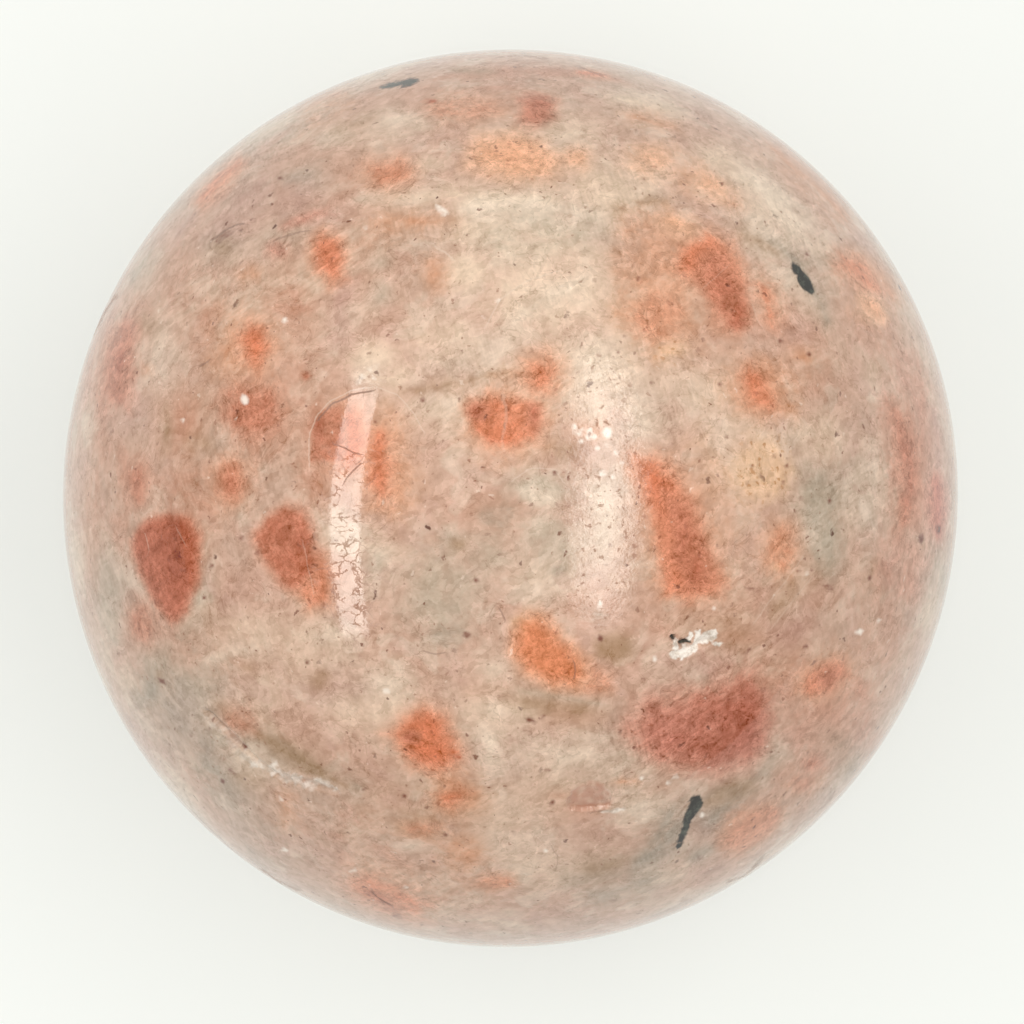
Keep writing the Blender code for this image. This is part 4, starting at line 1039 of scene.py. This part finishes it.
for name, (light, deep, *look) in FINISHES.items():
    mark, share = mark_and_share(name, *look)
    tone = add(tree, MAP_RANGE, {"Value": mark, "From Min": -0.6, "From Max": 2.6},
               interpolation_type="SMOOTHSTEP")
    paint = add(tree, MIX, {"Factor": tone, "A": linear(light), "B": linear(deep)}, data_type="RGBA")
    colour = add(tree, MIX, {"Factor": share, "A": colour, "B": paint}, data_type="RGBA")
    if name in GRAINS:
        iron = add(tree, MATH, {0: iron, 1: share}, operation="MAXIMUM")

# %% Scattered flecks
# A slice through scattered points shows a dot where a point lies within its radius of the surface. Brown
# dots of mica lie anywhere, in loose swarms, and dots of hematite only in the grains that hold it
in_ochre = add(tree, MAP_RANGE, {"Value": at_point["ochre"], "From Min": -1.0, "From Max": 0.6})
in_swarm = add(tree, MAP_RANGE, {"Value": pattern["blotch"][0], "From Min": 0.35, "From Max": 0.62,
                                 "To Min": 0.35, "To Max": 1.0})
# (spacing in mm, dot radius in mm, share of points that show, colour, where, how strong)
SCATTER = (
    (0.50, 0.13, 0.60, "8a5236", in_swarm, 0.60),
    (0.85, 0.19, 0.55, "6a3013", in_swarm, 0.80),
    (1.70, 0.27, 0.60, "501c05", in_swarm, 0.90),
    (1.00, 0.16, 0.50, "f2dfce", 1.0, 0.40),
    (0.40, 0.15, 0.80, "9a4a28", iron, 0.45),
    (0.90, 0.24, 0.70, "7a3418", iron, 0.50),
    (0.45, 0.22, 0.90, "b07436", in_ochre, 0.60),
)


def dots(spacing, radius, share_shown):
    """1 in dots that are scattered at this spacing in mm, 0 between them."""
    moved = add(tree, VECTOR_MATH, {0: crumbled, 1: (spacing * 37, spacing * 11, 0.0)}, operation="ADD")
    cells = add(tree, VORONOI, {"Vector": moved, "Scale": 1 / spacing}).outputs
    chance = add(tree, "ShaderNodeSeparateColor", {0: cells["Color"]})
    reach = add(tree, MAP_RANGE, {"Value": chance, "From Min": 0.0, "From Max": share_shown,
                                  "To Min": radius / spacing, "To Max": 0.0})
    near_dot = add(tree, MAP_RANGE, {"Value": cells["Distance"], "From Min": reach, "From Max": 0.0,
                                     "To Max": 2.0})
    return add(tree, MATH, {0: near_dot, 1: 1.0}, operation="MINIMUM")


for spacing, radius, share_shown, shade, where, strength in SCATTER:
    full = add(tree, MATH, {0: where, 1: strength}, operation="MULTIPLY")
    share = add(tree, MATH, {0: dots(spacing, radius, share_shown), 1: full}, operation="MULTIPLY")
    colour = add(tree, MIX, {"Factor": share, "A": colour, "B": linear(shade)}, data_type="RGBA")

# %% Fine structure: small crystals and the streaks of cleavage planes
fine = add(tree, NOISE, {"Vector": in_mm, "Scale": 1 / 0.6, "Detail": 3.0, "Roughness": 0.65})
light_and_dark = add(tree, MAP_RANGE, {"Value": fine, "From Min": 0.25, "From Max": 0.75, "To Min": -0.16,
                                       "To Max": 0.16})
fine_patterns = [(pattern["mottle"][0], 0.20), (pattern["mottle"][1], 0.16)]  # and how strong each is


def drawn_out(where, long, wide, turn):
    """A place in a pattern that is so long and wide in mm, and turned by so many degrees."""
    return add(tree, MAPPING, {"Vector": where, "Rotation": (0.0, 0.0, math.radians(turn)),
                               "Scale": (long, wide, long)}, vector_type="TEXTURE")


# The rock is a mesh of small crystals, each a little lighter or darker than the next: (long, wide in mm,
# turn in degrees, how strong)
for long, wide, turn, strength in ((0.75, 0.42, 33, 0.22), (1.7, 0.9, 105, 0.10)):
    crystal = add(tree, VORONOI, {"Vector": drawn_out(crumbled, long, wide, turn), "Scale": 1.0})
    chance = add(tree, "ShaderNodeSeparateColor", {0: crystal.outputs["Color"]})
    fine_patterns.append((chance, strength))
# Cleavage planes show as short straight streaks, in patches: (long, wide in mm, turn in degrees, how
# strong, channel of the pattern that makes the patches)
for long, wide, turn, strength, channel in ((1.6, 0.22, 33, 0.45, 1), (1.3, 0.20, 105, 0.40, 2)):
    streak = add(tree, NOISE, {"Vector": drawn_out(in_mm, long, wide, turn), "Scale": 1.0, "Detail": 1.0})
    patches = add(tree, MAP_RANGE, {"Value": pattern["cloud"][channel], "From Min": 0.48, "From Max": 0.64,
                                    "To Max": strength})
    fine_patterns.append((streak, patches))
for fine_pattern, strength in fine_patterns:
    lump = add(tree, MATH, {0: fine_pattern, 1: 0.5}, operation="SUBTRACT")
    light_and_dark = add(tree, MATH, {0: lump, 1: strength, 2: light_and_dark}, operation="MULTIPLY_ADD")

# %% Fine structure: threads in the rock, and curled strokes of hematite in the grains
# Each is a line along which a smooth pattern crosses its middle value
patches = add(tree, MAP_RANGE, {"Value": pattern["blotch"][1], "From Min": 0.42, "From Max": 0.58})
# (coordinates, size of the pattern in mm, half width, how light or dark, detail, distortion, where it shows)
THREADS = (
    (bent, 0.8, 0.03, -0.20, 2.0, 0.5, patches),
    (bent, 1.3, 0.02, 0.12, 2.0, 0.5, patches),
    (bent, 2.3, 0.012, 0.14, 2.0, 0.5, patches),
    (bent, 3.1, 0.010, -0.16, 2.0, 0.5, patches),
    (in_mm, 0.55, 0.05, -0.17, 1.0, 1.5, iron),
    (in_mm, 0.75, 0.04, 0.12, 1.0, 1.5, iron),
)
for space, size, wide, strength, detail, distortion, where in THREADS:
    wave = add(tree, NOISE, {"Vector": space, "Scale": 1 / size, "Detail": detail,
                             "Distortion": distortion})
    off_middle = add(tree, MATH, {0: wave, 1: 0.5}, operation="SUBTRACT")
    off_middle = add(tree, MATH, {0: off_middle}, operation="ABSOLUTE")
    thread = add(tree, MAP_RANGE, {"Value": off_middle, "From Min": 0.0, "From Max": wide,
                                   "To Min": strength, "To Max": 0.0}, interpolation_type="SMOOTHSTEP")
    light_and_dark = add(tree, MATH, {0: thread, 1: where, 2: light_and_dark}, operation="MULTIPLY_ADD")

# %% Put the fine structure on the colour
# The grains are lit a little from within, because they are clearer than the rock round them
light_and_dark = add(tree, MATH, {0: iron, 1: 0.05, 2: light_and_dark}, operation="MULTIPLY_ADD")
contrast = add(tree, MATH, {0: iron, 1: 0.1, 2: 1.0}, operation="MULTIPLY_ADD")
light_and_dark = add(tree, MATH, {0: light_and_dark, 1: contrast}, operation="MULTIPLY")
# Some of it scales the colour and some is added as grey, so that the hue stays as it is. A strong colour
# needs more of the first and less of the second
scale = add(tree, MATH, {0: iron, 1: 0.50, 2: 0.50}, operation="MULTIPLY_ADD")
scaled_by = add(tree, MATH, {0: light_and_dark, 1: scale, 2: 1.0}, operation="MULTIPLY_ADD")
grey = add(tree, MATH, {0: iron, 1: -0.09, 2: 0.20}, operation="MULTIPLY_ADD")
added = add(tree, MATH, {0: light_and_dark, 1: grey}, operation="MULTIPLY")
colour = add(tree, VECTOR_MATH, {0: colour, 1: scaled_by, 2: added}, operation="MULTIPLY_ADD")

# %% Lines, flecks, needles, painted shade in the chip's holes and painted glints
covers = []  # (share, colour), from the bottom up
for kind, shade in (("light", "ecdccb"), ("dark", "6a4535")):
    side = add(tree, MATH, {0: edge, 1: 2.0, 2: at_point[kind + "_line"]}, operation="MULTIPLY_ADD")
    side = add(tree, MATH, {0: side}, operation="ABSOLUTE")
    near_line = add(tree, MAP_RANGE, {"Value": side, "From Min": 1.3, "From Max": 0.2},
                    interpolation_type="SMOOTHSTEP")
    shown = at_point[kind + "_line_shown"]
    covers.append((add(tree, MATH, {0: near_line, 1: shown}, operation="MULTIPLY"), linear(shade)))
dark_line = covers[-1][0]

# Needles are dark green, patched at random with lighter grey-green; the same colour is painted shade in the
# chip's two deep holes
lighter_patches = add(tree, MAP_RANGE, {"Value": fine, "From Min": 0.48, "From Max": 0.72})
hornblende_and_hole_shade = add(tree, MIX, {"Factor": lighter_patches, "A": linear("050705"), "B": linear("4c5248")},
                 data_type="RGBA")
# (kind of mark, colour, how uneven its edge is, how much it covers)
SMALL_MARKS = (
    ("fleck", linear("6a2400"), 0.8, 0.88),
    # This mark also paints shade into the chip's two deep holes
    ("needle_and_hole_shade", hornblende_and_hole_shade, 2.4, 0.97),
    # A painted highlight: near-white glints where light catches pits and hematite flakes
    ("painted_glint", linear("fff4e8"), 1.2, 0.85),
)
for name, shade, uneven, cover in SMALL_MARKS:
    covers.append((mark_and_share(name, uneven, -1.0, 1.0, cover)[1], shade))

# %% Damage: the scar, crushed stone, hair cracks in one area and pits in another, with painted shade along the cracks and in the pits
# The scar's floor is stone that was never polished: dull and a little darker
scar_share = add(tree, MATH, {0: at_point["scar"], 1: 0.75}, operation="MULTIPLY")
covers.append((scar_share, linear("bd8972")))
# Crushed stone is white, but full of grey gaps
gaps = add(tree, MAP_RANGE, {"Value": fine, "From Min": 0.35, "From Max": 0.60})
crushed = add(tree, MIX, {"Factor": gaps, "A": linear("c9bbad"), "B": linear("fff6ec")}, data_type="RGBA")
covers.append((at_point["powder"], crushed))

cracked = add(tree, MAP_RANGE, {"Value": at_point["cracked"], "From Min": -1.0, "From Max": 1.0})
broken_up = add(tree, MAP_RANGE, {"Value": pattern["mottle"][0], "From Min": 0.44, "From Max": 0.56})
cracked = add(tree, MATH, {0: cracked, 1: broken_up}, operation="MULTIPLY")
squeezed = add(tree, MAPPING, {"Vector": crumbled, "Scale": (1.0, 0.65, 0.8)}, vector_type="TEXTURE")
cracks = add(tree, VORONOI, {"Vector": squeezed, "Scale": 1.0}, feature="DISTANCE_TO_EDGE")
cracks = add(tree, MAP_RANGE, {"Value": cracks, "From Min": 0.078, "From Max": 0.018})
cracks = add(tree, MATH, {0: cracks, 1: cracked}, operation="MULTIPLY")

pitted = add(tree, MAP_RANGE, {"Value": at_point["pitted"], "From Min": -1.0, "From Max": 1.0})
pits = add(tree, MATH, {0: dots(0.62, 0.24, 0.9), 1: dots(0.38, 0.13, 0.8)}, operation="MAXIMUM")
pits = add(tree, MATH, {0: pits, 1: pitted}, operation="MULTIPLY")
dull_and_crack_shade = add(tree, MATH, {0: cracks, 1: pits}, operation="MAXIMUM")
# The colour turns brown here as well: in the pits partly the stone's own brown and partly painted shade, and
# along the hair cracks painted shade where the narrow lamp's mirrored strip breaks up
covers.append((add(tree, MATH, {0: dull_and_crack_shade, 1: 0.45}, operation="MULTIPLY"), linear("80452a")))

for share, cover in covers:
    colour = add(tree, MIX, {"Factor": share, "A": colour, "B": cover}, data_type="RGBA")

# %% The polish
FELDSPAR_IOR = 1.54
BROKEN_ROUGHNESS = 0.7
RELIEF = 0.03 * MM
polish = add(tree, MAP_RANGE, {"Value": pattern["mottle"][1], "From Min": 0.4, "From Max": 0.75,
                               "To Min": 0.025, "To Max": 0.06})
dull = at_point["broken"]
for worn in (dark_line, dull_and_crack_shade):
    dull = add(tree, MATH, {0: dull, 1: worn}, operation="MAXIMUM")
roughness = add(tree, MIX, {"Factor": dull, "A": polish, "B": BROKEN_ROUGHNESS})
# The ground between the pits is never quite even
waviness = add(tree, NOISE, {"Vector": in_mm, "Scale": 1 / 0.32, "Detail": 2.0, "Roughness": 0.7})
height = add(tree, MAP_RANGE, {"Value": pitted, "From Max": 1.0, "To Min": 0.06, "To Max": 0.8})
relief = add(tree, MATH, {0: waviness, 1: height}, operation="MULTIPLY")
bump = add(tree, "ShaderNodeBump", {"Height": relief, "Distance": RELIEF})
shader = add(tree, "ShaderNodeBsdfPrincipled", {"Base Color": colour, "Roughness": roughness,
                                                "IOR": FELDSPAR_IOR, "Normal": bump})
add(tree, "ShaderNodeOutputMaterial", {"Surface": shader})
print("the stone's material has", len(tree.nodes), "nodes")

# %% [markdown]
# ## Table, light and background
#
# The stone was photographed on a white table, between two long lamps and under a bright ceiling. A
# polished ball mirrors its whole room, so each lamp is a real rectangle of light: the left one is narrow and
# shows as a crisp bright strip, and the right one is broad and soft.

# %% The table
table_form = bmesh.new()
bmesh.ops.create_circle(table_form, cap_ends=True, segments=96, radius=1.6)
table_mesh = bpy.data.meshes.new("table")
table_form.to_mesh(table_mesh)
table_form.free()
table = bpy.data.objects.new("table", table_mesh)
bpy.context.scene.collection.objects.link(table)
white = bpy.data.materials.new("white_acrylic")
white.use_nodes = True
table_mesh.materials.append(white)
# The light from below starts outside the ball's own shade, so that the ball still stands on a darker foot
table_place = add(white.node_tree, "ShaderNodeTexCoord").outputs["Object"]
from_middle = add(white.node_tree, VECTOR_MATH, {0: table_place}, operation="LENGTH")
glow = add(white.node_tree, MAP_RANGE, {"Value": from_middle, "From Min": 0.025, "From Max": 0.034,
                                        "To Min": 0.0, "To Max": 0.34}, interpolation_type="SMOOTHSTEP")
feed(white.node_tree.nodes["Principled BSDF"], {"Base Color": linear("d4d6d4"), "Roughness": 0.7,
                                                "Emission Color": linear("f2fbf8"),
                                                "Emission Strength": glow})

# %% The room
world = bpy.data.worlds.new("room")
bpy.context.scene.world = world
world.use_nodes = True
# It is a little brighter towards the north and overhead
outlook = add(world.node_tree, "ShaderNodeTexCoord").outputs["Generated"]
toward = add(world.node_tree, VECTOR_MATH, {0: outlook, 1: (-0.08, 0.52, 0.85)}, operation="DOT_PRODUCT")
sky_light = add(world.node_tree, MAP_RANGE, {"Value": toward, "From Min": -1.0, "From Max": 1.0,
                                             "To Min": 0.07, "To Max": 0.82})
feed(world.node_tree.nodes["Background"], {"Color": linear("fffefb"), "Strength": sky_light})
bpy.context.scene.view_settings.view_transform = "Standard"

# %% The lamps
# lamp: (degrees from straight up, azimuth, width, length, brightness, turn, soft share of its width and of
# its length, shift along its length)
LAMPS = {
    "narrow_lamp": (39.2, 180, 0.042, 0.34, 5.9, -4.4, 0.06, 0.10, 0.022),
    "broad_lamp": (23.0, 0, 0.115, 0.44, 4.9, 0, 0.48, 0.22, 0.0),
}
LAMP_DISTANCE = 0.30
for name, (tilt, azimuth, width, length, brightness, turn, soft_side, soft_end, shift) in LAMPS.items():
    light = bpy.data.lights.new(name, "AREA")
    light.shape = "RECTANGLE"
    light.size, light.size_y = width, length
    light.energy = brightness * math.pi * width * length
    light.color = linear("fffaf4")[:3]
    # A cloth diffuser in front of the lamp lets it fade out towards its edges
    light.use_nodes = True
    lamp_tree = light.node_tree
    on_lamp = add(lamp_tree, "ShaderNodeNewGeometry").outputs["Parametric"]
    across = add(lamp_tree, "ShaderNodeSeparateXYZ", {0: on_lamp}).outputs
    glow = 1.0
    for axis, soft in (("X", soft_side), ("Y", soft_end)):
        from_middle = add(lamp_tree, MATH, {0: across[axis], 1: 0.5}, operation="SUBTRACT")
        from_middle = add(lamp_tree, MATH, {0: from_middle}, operation="ABSOLUTE")
        fade = add(lamp_tree, MAP_RANGE, {"Value": from_middle, "From Min": 0.5, "From Max": 0.5 - soft},
                   interpolation_type="SMOOTHSTEP")
        glow = add(lamp_tree, MATH, {0: fade, 1: glow}, operation="MULTIPLY")
    feed(lamp_tree.nodes["Emission"], {"Strength": glow})
    lamp = bpy.data.objects.new(name, light)
    lamp.visible_camera = False
    aim = Matrix.Rotation(math.radians(azimuth), 4, "Z") @ Matrix.Rotation(math.radians(tilt), 4, "Y")
    lamp.matrix_world = (Matrix.Translation(CENTRE) @ aim @ Matrix.Translation((0, 0, LAMP_DISTANCE))
                         @ Matrix.Rotation(math.radians(turn), 4, "Z") @ Matrix.Translation((0, shift, 0)))
    bpy.context.scene.collection.objects.link(lamp)

# %% [markdown]
# ## Hand over
#
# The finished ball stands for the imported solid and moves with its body.

# %% Hand over
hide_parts(NODE)
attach(ball, BODY)
